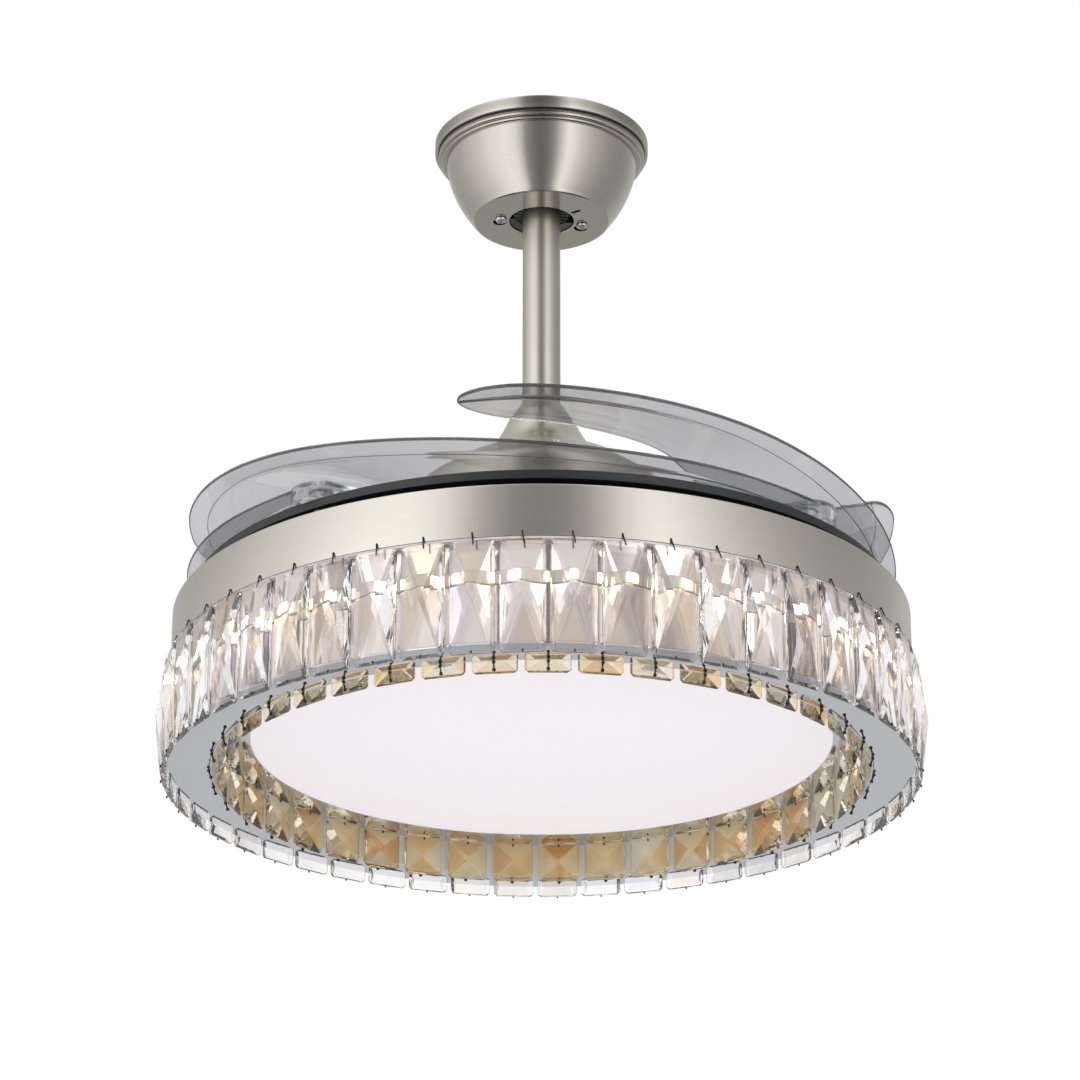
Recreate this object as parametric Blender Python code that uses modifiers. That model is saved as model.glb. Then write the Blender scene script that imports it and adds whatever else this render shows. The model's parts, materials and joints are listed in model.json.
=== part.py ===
"""Chandelier ceiling fan with four folding clear blades and a crystal drum lamp.

The ceiling plane is z = 0, the fan hangs down from it along its vertical axis x = y = 0,
and the front of the fan faces -Y. All lengths are in metres.
"""
import bmesh
import bpy
from math import asin, cos, pi, radians, sin, sqrt, tau
from mathutils import Matrix, Vector

# Clearances shared by every fit
fit_gap = 0.0003
cut_overrun = 0.002
weld_distance = 0.00001

# Smoothness of turned and round pieces
drum_steps = 40
motor_steps = 28
rod_steps = 20
small_steps = 10
nut_steps = 6
vent_steps = 6
bead_arc_steps = 2
bowl_arc_steps = 5
ball_arc_steps = 6
smooth_angle = radians(32)

# Ceiling canopy
canopy_radius = 0.0730
canopy_seat_gap = 0.0087
canopy_wall = 0.0012
canopy_rim_height = 0.0150
canopy_bead_radius = 0.0027
canopy_rim_step = 0.0065
canopy_bowl_reach = 0.0358
canopy_bowl_turn = radians(62)
canopy_foot_height = 0.0016
canopy_floor_radius = 0.0430
canopy_hole_radius = 0.0220
canopy_ceiling_gap = 0.0004
keyhole_radius = 0.0046
keyhole_offset = 0.0052
canopy_mark_length = 0.0070
canopy_mark_width = 0.0026
canopy_mark_turn = radians(-43)

# Canopy screws, on one line through the axis that is turned from the X axis
bracket_turn = radians(9.5)
canopy_screw_inset = 0.0060
canopy_screw_radius = 0.0020
canopy_screw_head_radius = 0.0040
canopy_screw_head_height = 0.0024

# Ceiling bracket
bracket_canopy_gap = 0.0153
bracket_width = 0.0360
bracket_thickness = 0.0020
bracket_leg_inset = 0.0060
wood_screw_hole_radius = 0.0025
wood_screw_inset = 0.0070
seat_rod_gap = 0.0040
seat_tab_width = 0.0030
seat_tab_reach = 0.0016

# Hanger ball and downrod
ball_wall = 0.0070
ball_depth = 0.0360
ball_top_land = 0.0030
ball_bottom_land = 0.0012
ball_pin_radius = 0.0025
ball_pin_length = 0.0300
ball_groove_depth = 0.0040
ball_key_width = 0.0040
rod_radius = 0.01275
rod_wall = 0.0020
rod_length = 0.2150
rod_above_ball = 0.0220

# Coupler between the downrod and the motor shaft
coupler_radius = 0.0180
coupler_insert = 0.0200
coupler_floor = 0.0060
coupler_neck_radius = 0.0140
coupler_neck_height = 0.0070
coupler_bolt_radius = 0.0028
coupler_bolt_head_radius = 0.0052
coupler_bolt_head_height = 0.0035
coupler_bolt_rise = 0.0100

# Bell shaped cover over the coupler, as radii and drops below its top
cover_top_rise = 0.0330
cover_wall = 0.0012
cover_rod_gap = 0.0006
cover_shoulder_radius = 0.0200
cover_shoulder_drop = 0.0080
cover_waist_radius = 0.0280
cover_waist_drop = 0.0240
cover_flare_radius = 0.0380
cover_flare_drop = 0.0380
cover_rim_radius = 0.0580
cover_motor_gap = 0.0016

# Motor
motor_run_gap = 0.0025
motor_radius = 0.0860
motor_wall = 0.0025
motor_height = 0.0952
motor_crown_inset = 0.0260
motor_shoulder_inset = 0.0040
motor_shoulder_drop = 0.0150
motor_edge_drop = 0.0210
motor_split_rise = 0.0387
motor_flange_width = 0.0140
motor_flange_thickness = 0.0047
vent_count = 16
vent_radius = 0.0028
vent_inset = 0.0160
vent_turn = radians(-14.6)
shaft_radius = 0.0085
shaft_bore_radius = 0.0055
bearing_radius = 0.0200
bearing_width = 0.0120
bearing_hub_wall = 0.0040
yoke_wall = 0.0120
stator_tooth_length = 0.0340
stator_height = 0.0280
stator_tooth_count = 9
stator_tooth_width = 0.0090
winding_height = 0.0060
winding_inset = 0.0090
magnet_air_gap = 0.0010
magnet_thickness = 0.0060
magnet_height = 0.0320

# Black disc that carries the blades
disc_inset = 0.0115
disc_height = 0.0058
disc_plate = 0.0015
disc_rim_wall = 0.0015
disc_bore_radius = 0.0240
disc_screw_count = 4
disc_screw_inset = 0.0070
disc_screw_radius = 0.0020
disc_screw_head_radius = 0.0038
disc_screw_head_height = 0.0022

# Blades, each an arc round the fan's axis that runs clockwise from its pivot seen from above
blade_count = 4
blade_first_turn = radians(50.5)
blade_pivot_inset = 0.0145
blade_hub_radius = 0.0190
blade_hub_height = 0.0118
blade_post_radius = 0.0040
blade_post_head_radius = 0.0080
blade_post_head_height = 0.0020
blade_span = radians(154)
blade_edge_overhang = 0.0026
blade_width = 0.0840
blade_thickness = 0.0030
blade_rise = 0.0545
blade_crease_width = 0.0120
blade_crease_fold_share = 0.27
blade_tip_share = 0.060
blade_body_steps = 17
blade_tip_steps = 5
blade_inner_steps = 2
# Places along the blade as shares of its span, with what it has there:
# the share of its rise at the outer edge, of its width, and its inward slope
blade_place_shares = (0.00, 0.06, 0.13, 0.26, 0.34, 0.41, 0.49, 0.62, 0.71, 0.82, 0.92, 1.00)
blade_rise_shares = (0.15, 0.16, 0.19, 0.24, 0.31, 0.39, 0.50, 0.70, 0.82, 0.93, 1.00, 0.99)
blade_width_shares = (0.36, 0.36, 0.42, 0.74, 0.93, 0.99, 1.00, 0.99, 0.94, 0.83, 0.68, 0.52)
blade_slope_shares = (0.00, 0.05, 0.05, 0.00, -0.08, -0.12, -0.12, 0.04, 0.15, 0.14, 0.11, 0.10)
spring_wire = 0.0010
spring_turn_count = 2.5
spring_turn_steps = 8

# Drum lamp: tray, satin band, walls and mirror ring
lamp_drop = 0.0082
band_radius = 0.2410
band_height = 0.0340
band_wall = 0.0010
band_flange_width = 0.0150
band_edge_round = 0.0006
tray_thickness = 0.0010
tray_collar_radius = 0.0140
tray_collar_height = 0.0078
shaft_nut_radius = 0.0135
shaft_nut_height = 0.0070
shaft_end_reach = 0.0020
drum_wall_inset = 0.0050
drum_wall_thickness = 0.0008
drum_height = 0.1030
ring_thickness = 0.0012
ring_width = 0.0270
recess_depth = 0.0210
recess_wall = 0.0010
recess_trim_thickness = 0.0012
diffuser_inset = 0.0260
diffuser_thickness = 0.0030
diffuser_lip = 0.0070
pan_depth = 0.0150
pan_wall = 0.0008
pan_wire_hole_radius = 0.0100
pan_standoff_count = 3
pan_standoff_radius = 0.0050
pan_standoff_inset = 0.0380
led_panel_inset = 0.0180
led_panel_thickness = 0.0016
led_panel_bore_radius = 0.0300
led_strip_height = 0.0080
led_strip_thickness = 0.0012
led_strip_drop = 0.0550
driver_length = 0.1200
driver_width = 0.0500
driver_height = 0.0280
driver_offset = 0.0750
receiver_length = 0.0900
receiver_width = 0.0420
receiver_height = 0.0220
receiver_offset = -0.0750
box_edge_round = 0.0020

# Outer crystals
crystal_count = 50
crystal_turn = radians(4.6)
crystal_side_gap = 0.0026
crystal_height = 0.0740
crystal_depth = 0.0087
crystal_base_depth = 0.0050
crystal_top_gap = 0.0020
crystal_hoop_radial = 0.0020
crystal_hoop_height = 0.0016
crystal_hoop_inset = 0.0040

# Inner crystals
pendant_count = 41
pendant_turn = radians(1.1)
pendant_wall_gap = 0.0010
pendant_side_gap = 0.0043
pendant_height = 0.0280
pendant_depth = 0.0077
pendant_base_depth = 0.0045

# The rod's fit, the ball round it and the seat under the ball
rod_fit_radius = rod_radius + fit_gap
ball_radius = rod_fit_radius + ball_wall
ball_top_height = sqrt(ball_radius ** 2 - (rod_fit_radius + ball_top_land) ** 2)
ball_bottom_height = sqrt(ball_radius ** 2 - (rod_fit_radius + ball_bottom_land) ** 2)
seat_hole_radius = rod_fit_radius + seat_rod_gap
ball_seat_height = sqrt((ball_radius + fit_gap) ** 2 - seat_hole_radius ** 2)

# Heights worked out from the sizes above, downwards from the ceiling
ball_z = -ball_depth
seat_top_z = ball_z - ball_seat_height
canopy_height = bracket_thickness + canopy_seat_gap + canopy_wall - seat_top_z
rod_top_z = ball_z + rod_above_ball
rod_bottom_z = rod_top_z - rod_length
coupler_top_z = rod_bottom_z + coupler_insert
coupler_floor_z = rod_bottom_z - fit_gap
coupler_bottom_z = coupler_floor_z - coupler_floor - coupler_neck_height
cover_top_z = rod_bottom_z + cover_top_rise
motor_top_z = coupler_bottom_z - motor_run_gap
cover_rim_z = motor_top_z + cover_motor_gap
motor_bottom_z = motor_top_z - motor_height
motor_split_z = motor_bottom_z + motor_split_rise
disc_top_z = motor_bottom_z - fit_gap
disc_bottom_z = disc_top_z - disc_height
lamp_top_z = disc_bottom_z - lamp_drop
tray_top_z = lamp_top_z - band_wall - fit_gap
tray_bottom_z = tray_top_z - tray_thickness
ring_bottom_z = lamp_top_z - drum_height
recess_z = ring_bottom_z + recess_depth
crystal_top_z = lamp_top_z - band_height - crystal_top_gap
pan_flange_z = recess_z + diffuser_thickness + diffuser_lip
pan_roof_z = pan_flange_z + pan_depth
shaft_top_z = coupler_floor_z - fit_gap
shaft_bottom_z = tray_bottom_z - fit_gap - shaft_nut_height - shaft_end_reach

# Radii worked out from the sizes above, of the canopy, the rod and the motor
canopy_neck_radius = canopy_radius - canopy_rim_step
canopy_screw_circle = canopy_hole_radius + canopy_screw_inset
bracket_length = 2 * (canopy_neck_radius - canopy_wall - bracket_canopy_gap)
wood_screw_offset = bracket_length / 2 - wood_screw_inset
shaft_fit_radius = shaft_radius + fit_gap
bearing_hub_radius = bearing_radius + fit_gap
motor_inner_radius = motor_radius - motor_wall
yoke_inner_radius = motor_inner_radius - fit_gap - yoke_wall
magnet_outer_radius = yoke_inner_radius - fit_gap
magnet_inner_radius = magnet_outer_radius - magnet_thickness
stator_radius = magnet_inner_radius - magnet_air_gap
winding_radius = stator_radius - winding_inset
stator_core_radius = stator_radius - stator_tooth_length
motor_crown_radius = motor_radius - motor_crown_inset
motor_shoulder_radius = motor_radius - motor_shoulder_inset
motor_flange_radius = motor_radius + motor_flange_width
vent_circle = motor_radius - vent_inset
disc_screw_circle = motor_flange_radius - disc_screw_inset

# Radii and widths that follow the drum's band
disc_radius = band_radius - disc_inset
blade_pivot_circle = disc_radius - blade_pivot_inset
blade_edge_radius = disc_radius + blade_edge_overhang
drum_wall_radius = band_radius - drum_wall_inset
ring_inner_radius = band_radius - ring_width
recess_outer_radius = ring_inner_radius - fit_gap
recess_inner_radius = recess_outer_radius - recess_wall
diffuser_radius = ring_inner_radius - diffuser_inset
led_panel_radius = diffuser_radius - led_panel_inset
pan_standoff_circle = diffuser_radius - pan_standoff_inset
crystal_back_radius = band_radius + fit_gap
crystal_width = tau * crystal_back_radius / crystal_count - crystal_side_gap
recess_flat_radius = recess_inner_radius * cos(pi / drum_steps) - fit_gap
pendant_back_radius = recess_flat_radius - pendant_wall_gap
pendant_width = tau * pendant_back_radius / pendant_count - pendant_side_gap


def clear_scene():
    for item in list(bpy.data.objects):
        bpy.data.objects.remove(item, do_unlink=True)


def new_collection(name):
    group = bpy.data.collections.new(name)
    bpy.context.scene.collection.children.link(group)
    return group


def new_material(name, colour, roughness, metallic=0.0, transmission=0.0):
    finish = bpy.data.materials.new(name)
    finish.use_nodes = True
    shader = finish.node_tree.nodes["Principled BSDF"]
    shader.inputs["Base Color"].default_value = (*colour, 1.0)
    shader.inputs["Roughness"].default_value = roughness
    shader.inputs["Metallic"].default_value = metallic
    shader.inputs["Transmission Weight"].default_value = transmission
    finish.diffuse_color = (*colour, 1.0)
    return finish


def add_object(name, data, finish=None, parent=None, group=None):
    item = bpy.data.objects.new(name, data)
    (group or parts_group).objects.link(item)
    if finish is not None:
        data.materials.clear()
        data.materials.append(finish)
    item.parent = parent
    return item


def add_frame(name, location, turn=0.0, parent=None):
    """An empty that stands on the axis of the pieces that hang on it."""
    frame = bpy.data.objects.new(name, None)
    frame.location = location
    frame.rotation_euler.z = turn
    frame.parent = parent
    parts_group.objects.link(frame)
    return frame


def mesh_from(bm, name):
    mesh = bpy.data.meshes.new(name)
    bm.to_mesh(mesh)
    bm.free()
    mesh.shade_smooth()
    mesh.set_sharp_from_angle(angle=smooth_angle)
    return mesh


def ellipse_arc(centre, radii, start, end, count):
    """Points along an arc of an ellipse, as (radius, height) pairs."""
    turns = [start + (end - start) * step / count for step in range(count + 1)]
    return [(centre[0] + radii[0] * cos(turn), centre[1] + radii[1] * sin(turn)) for turn in turns]


def profile_mesh(name, outline, closed):
    bm = bmesh.new()
    points = [bm.verts.new((radius, 0, height)) for radius, height in outline]
    for first, second in zip(points, points[1:]):
        bm.edges.new((first, second))
    if closed:
        bm.edges.new((points[-1], points[0]))
    mesh = bpy.data.meshes.new(name)
    bm.to_mesh(mesh)
    bm.free()
    return mesh


def spin(item, steps):
    """Turns an outline once round the Z axis."""
    screw = item.modifiers.new("turn", "SCREW")
    screw.steps = steps
    screw.render_steps = steps
    screw.use_merge_vertices = True
    screw.merge_threshold = weld_distance


def turned(name, outline, finish, parent=None, steps=motor_steps, wall=0.0, group=None):
    """A turned piece: a closed outline makes a solid, an open one with a wall makes a shell."""
    item = add_object(name, profile_mesh(name, outline, wall == 0), finish, parent, group)
    spin(item, steps)
    if wall:
        shell = item.modifiers.new("wall", "SOLIDIFY")
        shell.thickness = wall
        shell.offset = -1
        shell.use_even_offset = True
    return item


def ring_outline(outer, inner, top, bottom):
    return [(outer, top), (outer, bottom), (inner, bottom), (inner, top)]


def cylinder(name, radius, top, bottom, finish=None, parent=None, steps=small_steps, group=None):
    bm = bmesh.new()
    bmesh.ops.create_cone(bm, cap_ends=True, segments=steps, radius1=radius, radius2=radius,
                          depth=top - bottom)
    bmesh.ops.translate(bm, verts=bm.verts, vec=(0, 0, (top + bottom) / 2))
    return add_object(name, mesh_from(bm, name), finish, parent, group)


def box(name, low, high, finish=None, parent=None, edge_round=0.0, group=None):
    """A box between two corners, with its edges rounded if asked."""
    size = Vector(high) - Vector(low)
    bm = bmesh.new()
    bmesh.ops.create_cube(bm, size=1.0)
    bmesh.ops.scale(bm, verts=bm.verts, vec=size)
    bmesh.ops.translate(bm, verts=bm.verts, vec=(Vector(high) + Vector(low)) / 2)
    item = add_object(name, mesh_from(bm, name), finish, parent, group)
    if edge_round:
        rounding = item.modifiers.new("edges", "BEVEL")
        rounding.width = edge_round
        rounding.segments = 1
    return item


def stacked(name, sections, finish=None, parent=None, steps=small_steps, group=None):
    """A solid of several diameters, from its top down: (radius, top, bottom) for each."""
    outline = [(0, sections[0][1])]
    for radius, top, bottom in sections:
        outline += [(radius, top), (radius, bottom)]
    outline.append((0, sections[-1][2]))
    item = add_object(name, profile_mesh(name, outline, False), finish, parent, group)
    spin(item, steps)
    return item


def as_tool(item):
    item.hide_render = True
    item.display_type = "WIRE"
    return item


def cut(item, tool):
    step = item.modifiers.new("cut", "BOOLEAN")
    step.operation = "DIFFERENCE"
    step.object = as_tool(tool)


def join(item, tool):
    step = item.modifiers.new("join", "BOOLEAN")
    step.operation = "UNION"
    step.object = as_tool(tool)


def lay_along_x(item, height):
    """Turns an upright tool or pin to lie along X at a height."""
    item.rotation_euler.y = pi / 2
    item.location.z = height


def nut_bore(radius, sides):
    """Corner radius of a faceted hole whose flats stay clear of a pin of this radius."""
    return (radius + fit_gap) / cos(pi / sides)


def around(count, first=0.0):
    return [first + tau * step / count for step in range(count)]


def make_materials():
    return {
        "satin_nickel": new_material("satin_nickel", (0.56, 0.53, 0.47), 0.34, 1.0),
        "mirror_steel": new_material("mirror_steel", (0.72, 0.72, 0.74), 0.10, 1.0),
        "zinc_steel": new_material("zinc_steel", (0.60, 0.61, 0.62), 0.38, 1.0),
        "black_plastic": new_material("black_plastic", (0.020, 0.020, 0.022), 0.45),
        "black_steel": new_material("black_steel", (0.035, 0.036, 0.040), 0.40),
        "clear_acrylic": new_material("clear_acrylic", (0.90, 0.92, 0.95), 0.03, 0.0, 1.0),
        "clear_crystal": new_material("clear_crystal", (0.97, 0.98, 1.00), 0.02, 0.0, 1.0),
        "amber_crystal": new_material("amber_crystal", (0.93, 0.78, 0.55), 0.02, 0.0, 1.0),
        "opal_acrylic": new_material("opal_acrylic", (0.90, 0.87, 0.89), 0.50),
        "white_steel": new_material("white_steel", (0.85, 0.85, 0.84), 0.45),
        "cast_aluminium": new_material("cast_aluminium", (0.62, 0.62, 0.62), 0.50, 1.0),
        "laminated_steel": new_material("laminated_steel", (0.30, 0.30, 0.31), 0.55, 1.0),
        "magnet_ferrite": new_material("magnet_ferrite", (0.08, 0.08, 0.09), 0.60),
        "circuit_board": new_material("circuit_board", (0.88, 0.89, 0.86), 0.50),
        "spring_steel": new_material("spring_steel", (0.50, 0.50, 0.50), 0.30, 1.0),
        "copper_wire": new_material("copper_wire", (0.60, 0.28, 0.12), 0.35, 1.0),
    }


def make_canopy(parent):
    """Spun bowl with a beaded rim, a flat floor, a rod hole and two keyholes for its screws."""
    rim_z = -canopy_ceiling_gap
    bead_z = -canopy_rim_height + canopy_bead_radius
    bowl_top_z = -canopy_rim_height
    bead_centre = (canopy_neck_radius + canopy_bead_radius, bead_z)
    bead_radii = (canopy_bead_radius, canopy_bead_radius)
    outline = [(canopy_radius, rim_z), (canopy_radius, bead_z + canopy_bead_radius)]
    outline += ellipse_arc(bead_centre, bead_radii, pi / 2, -pi / 2, bead_arc_steps)
    bowl_drop = canopy_height - canopy_foot_height - canopy_rim_height
    bowl_centre = (canopy_neck_radius - canopy_bowl_reach, bowl_top_z)
    bowl_radii = (canopy_bowl_reach, bowl_drop / sin(canopy_bowl_turn))
    outline += ellipse_arc(bowl_centre, bowl_radii, 0, -canopy_bowl_turn, bowl_arc_steps)
    outline += [(canopy_floor_radius, -canopy_height), (canopy_hole_radius, -canopy_height)]
    canopy = turned("canopy", outline, finishes["satin_nickel"], parent, motor_steps, canopy_wall)
    cut_top = canopy_wall + cut_overrun - canopy_height
    cut_bottom = -canopy_height - cut_overrun
    for side in (-1, 1):
        shank_hole = cylinder("canopy_screw_hole", canopy_screw_radius + fit_gap, cut_top, cut_bottom,
                              parent=parent, group=tools_group)
        shank_hole.location.x = side * canopy_screw_circle
        cut(canopy, shank_hole)
        keyhole = cylinder("canopy_keyhole", keyhole_radius, cut_top, cut_bottom,
                           parent=parent, group=tools_group)
        keyhole.location = (side * canopy_screw_circle, keyhole_offset, 0)
        cut(canopy, keyhole)
    half_mark = Vector((canopy_mark_length, canopy_mark_width, 0)) / 2
    mark = box("canopy_mark_slot", (canopy_screw_circle - half_mark.x, -half_mark.y, cut_bottom),
               (canopy_screw_circle + half_mark.x, half_mark.y, cut_top), parent=parent, group=tools_group)
    mark.rotation_euler.z = canopy_mark_turn
    cut(canopy, mark)


def make_canopy_screws(parent):
    """Two pan head screws, from under the canopy's floor up into the bracket's seat plate."""
    head_top = -canopy_height - fit_gap
    head_bottom = head_top - canopy_screw_head_height
    tip_z = seat_top_z + fit_gap
    for side, name in ((-1, "canopy_screw_left"), (1, "canopy_screw_right")):
        sections = [(canopy_screw_radius, tip_z, head_top),
                    (canopy_screw_head_radius, head_top, head_bottom)]
        screw = stacked(name, sections, finishes["zinc_steel"], parent)
        screw.location.x = side * canopy_screw_circle


def make_bracket(parent):
    """Bent steel strip: a ceiling plate, two legs and a seat plate with a slot for the rod."""
    half_plate = bracket_length / 2
    inner_leg = canopy_screw_circle + bracket_leg_inset
    outer_leg = inner_leg + bracket_thickness
    seat_bottom = seat_top_z - bracket_thickness
    plate = box("ceiling_bracket", (-half_plate, -bracket_width / 2, -bracket_thickness),
                (half_plate, bracket_width / 2, 0), finishes["black_steel"], parent)
    legs = box("bracket_legs", (-outer_leg, -bracket_width / 2, seat_bottom),
               (outer_leg, bracket_width / 2, -bracket_thickness / 2), parent=parent, group=tools_group)
    room = box("bracket_room", (-inner_leg, -bracket_width, seat_top_z),
               (inner_leg, bracket_width, -bracket_thickness), parent=parent, group=tools_group)
    join(plate, legs)
    cut(plate, room)
    seat_hole = cylinder("seat_hole", seat_hole_radius, seat_top_z + cut_overrun, seat_bottom - cut_overrun,
                         parent=parent, steps=rod_steps, group=tools_group)
    cut(plate, seat_hole)
    slot_half = rod_fit_radius + seat_tab_reach
    seat_slot = box("seat_slot", (-slot_half, -bracket_width, seat_bottom - cut_overrun),
                    (slot_half, 0, seat_top_z + cut_overrun), parent=parent, group=tools_group)
    cut(plate, seat_slot)
    tab = box("seat_tab", (-seat_tab_width / 2, seat_hole_radius - seat_tab_reach, seat_bottom),
              (seat_tab_width / 2, bracket_width / 2, seat_top_z), parent=parent, group=tools_group)
    join(plate, tab)
    for side in (-1, 1):
        screw_hole = cylinder("seat_screw_hole", canopy_screw_radius + fit_gap, seat_top_z + cut_overrun,
                              seat_bottom - cut_overrun, parent=parent, group=tools_group)
        screw_hole.location.x = side * canopy_screw_circle
        cut(plate, screw_hole)
        ceiling_hole = cylinder("wood_screw_hole", wood_screw_hole_radius, cut_overrun,
                                -bracket_thickness - cut_overrun, parent=parent, group=tools_group)
        ceiling_hole.location.x = side * wood_screw_offset
        cut(plate, ceiling_hole)


def make_ball(parent):
    """Hanger ball with flats, a bore for the rod, a pin groove and a key slot."""
    start = asin(ball_top_height / ball_radius)
    end = -asin(ball_bottom_height / ball_radius)
    outline = [(rod_fit_radius, ball_top_height)]
    outline += ellipse_arc((0, 0), (ball_radius, ball_radius), start, end, ball_arc_steps)
    outline.append((rod_fit_radius, -ball_bottom_height))
    ball = turned("hanger_ball", outline, finishes["black_plastic"], parent, rod_steps)
    groove_half = ball_pin_radius + fit_gap
    groove = box("ball_groove", (-ball_radius, -groove_half, ball_top_height - ball_groove_depth),
                 (ball_radius, groove_half, ball_radius), parent=parent, group=tools_group)
    cut(ball, groove)
    key_slot = box("ball_key_slot", (-ball_key_width / 2, 0, -ball_radius),
                   (ball_key_width / 2, ball_radius, -ball_key_width), parent=parent, group=tools_group)
    cut(ball, key_slot)
    pin_z = ball_top_height - ball_groove_depth + fit_gap + ball_pin_radius
    pin = cylinder("ball_cross_pin", ball_pin_radius, ball_pin_length / 2, -ball_pin_length / 2,
                   finishes["zinc_steel"], parent)
    lay_along_x(pin, pin_z)
    return pin_z


def make_downrod(parent, pin_z, bolt_z):
    """Steel tube with a cross hole for the ball's pin and one for the coupler's bolt."""
    top = rod_top_z - ball_z
    bottom = rod_bottom_z - ball_z
    outline = ring_outline(rod_radius, rod_radius - rod_wall, top, bottom)
    rod = turned("downrod", outline, finishes["satin_nickel"], parent, rod_steps)
    for radius, height in ((ball_pin_radius, pin_z), (coupler_bolt_radius, bolt_z - ball_z)):
        hole = cylinder("downrod_hole", radius + fit_gap, ball_radius, -ball_radius,
                        parent=parent, group=tools_group)
        lay_along_x(hole, height)
        cut(rod, hole)


def make_coupler(parent, bolt_z):
    """Cup that takes the rod, with a neck for the motor's shaft and a bolt through both."""
    neck_top_z = coupler_floor_z - coupler_floor
    outline = [(coupler_radius, coupler_top_z), (coupler_radius, neck_top_z),
               (coupler_neck_radius, neck_top_z), (coupler_neck_radius, coupler_bottom_z),
               (shaft_fit_radius, coupler_bottom_z), (shaft_fit_radius, coupler_floor_z),
               (rod_fit_radius, coupler_floor_z), (rod_fit_radius, coupler_top_z)]
    coupler = turned("motor_coupler", outline, finishes["cast_aluminium"], parent, rod_steps)
    hole = cylinder("coupler_bolt_hole", coupler_bolt_radius + fit_gap, coupler_radius + cut_overrun,
                    -coupler_radius - cut_overrun, parent=parent, group=tools_group)
    lay_along_x(hole, bolt_z)
    cut(coupler, hole)
    head_start = coupler_radius + fit_gap
    head_end = head_start + coupler_bolt_head_height
    nut_end = -head_start - coupler_bolt_head_height
    bolt = stacked("coupler_bolt", [(coupler_bolt_head_radius, head_end, head_start),
                                    (coupler_bolt_radius, head_start, nut_end - fit_gap)],
                   finishes["zinc_steel"], parent)
    lay_along_x(bolt, bolt_z)
    nut_outline = ring_outline(coupler_bolt_head_radius, nut_bore(coupler_bolt_radius, nut_steps),
                               -head_start, nut_end)
    nut = turned("coupler_nut", nut_outline, finishes["zinc_steel"], parent, nut_steps)
    lay_along_x(nut, bolt_z)


def make_cover(parent):
    """Bell over the coupler, from the rod's clearance hole down to a wide rim."""
    outline = [(rod_radius + cover_rod_gap + cover_wall, cover_top_z),
               (cover_shoulder_radius, cover_top_z - cover_shoulder_drop),
               (cover_waist_radius, cover_top_z - cover_waist_drop),
               (cover_flare_radius, cover_top_z - cover_flare_drop),
               (cover_rim_radius, cover_rim_z)]
    turned("coupling_cover", outline, finishes["satin_nickel"], parent, motor_steps, cover_wall)


def make_shaft(parent):
    """Fixed hollow shaft that carries the lamp through the turning motor, with its end nut."""
    outline = ring_outline(shaft_radius, shaft_bore_radius, shaft_top_z, shaft_bottom_z)
    turned("motor_shaft", outline, finishes["zinc_steel"], parent, rod_steps)
    nut_top = tray_bottom_z - fit_gap
    nut_outline = ring_outline(shaft_nut_radius, nut_bore(shaft_radius, nut_steps), nut_top,
                               nut_top - shaft_nut_height)
    turned("shaft_nut", nut_outline, finishes["zinc_steel"], parent, nut_steps)


def make_stator(parent):
    """Laminated core with teeth on the shaft, and the winding heads above and below it."""
    middle = motor_split_z
    core_top = middle + stator_height / 2
    core_bottom = middle - stator_height / 2
    core_outline = ring_outline(stator_core_radius, shaft_fit_radius, core_top, core_bottom)
    core = turned("stator_core", core_outline, finishes["laminated_steel"], parent)
    for turn in around(stator_tooth_count):
        tooth = box("stator_tooth",
                    (stator_core_radius - cut_overrun, -stator_tooth_width / 2, core_bottom),
                    (stator_radius, stator_tooth_width / 2, core_top), parent=parent, group=tools_group)
        tooth.rotation_euler.z = turn
        join(core, tooth)
    upper_top = core_top + fit_gap + winding_height
    lower_top = core_bottom - fit_gap
    for name, top in (("upper_winding", upper_top), ("lower_winding", lower_top)):
        outline = ring_outline(winding_radius, stator_core_radius, top, top - winding_height)
        turned(name, outline, finishes["copper_wire"], parent)


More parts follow.
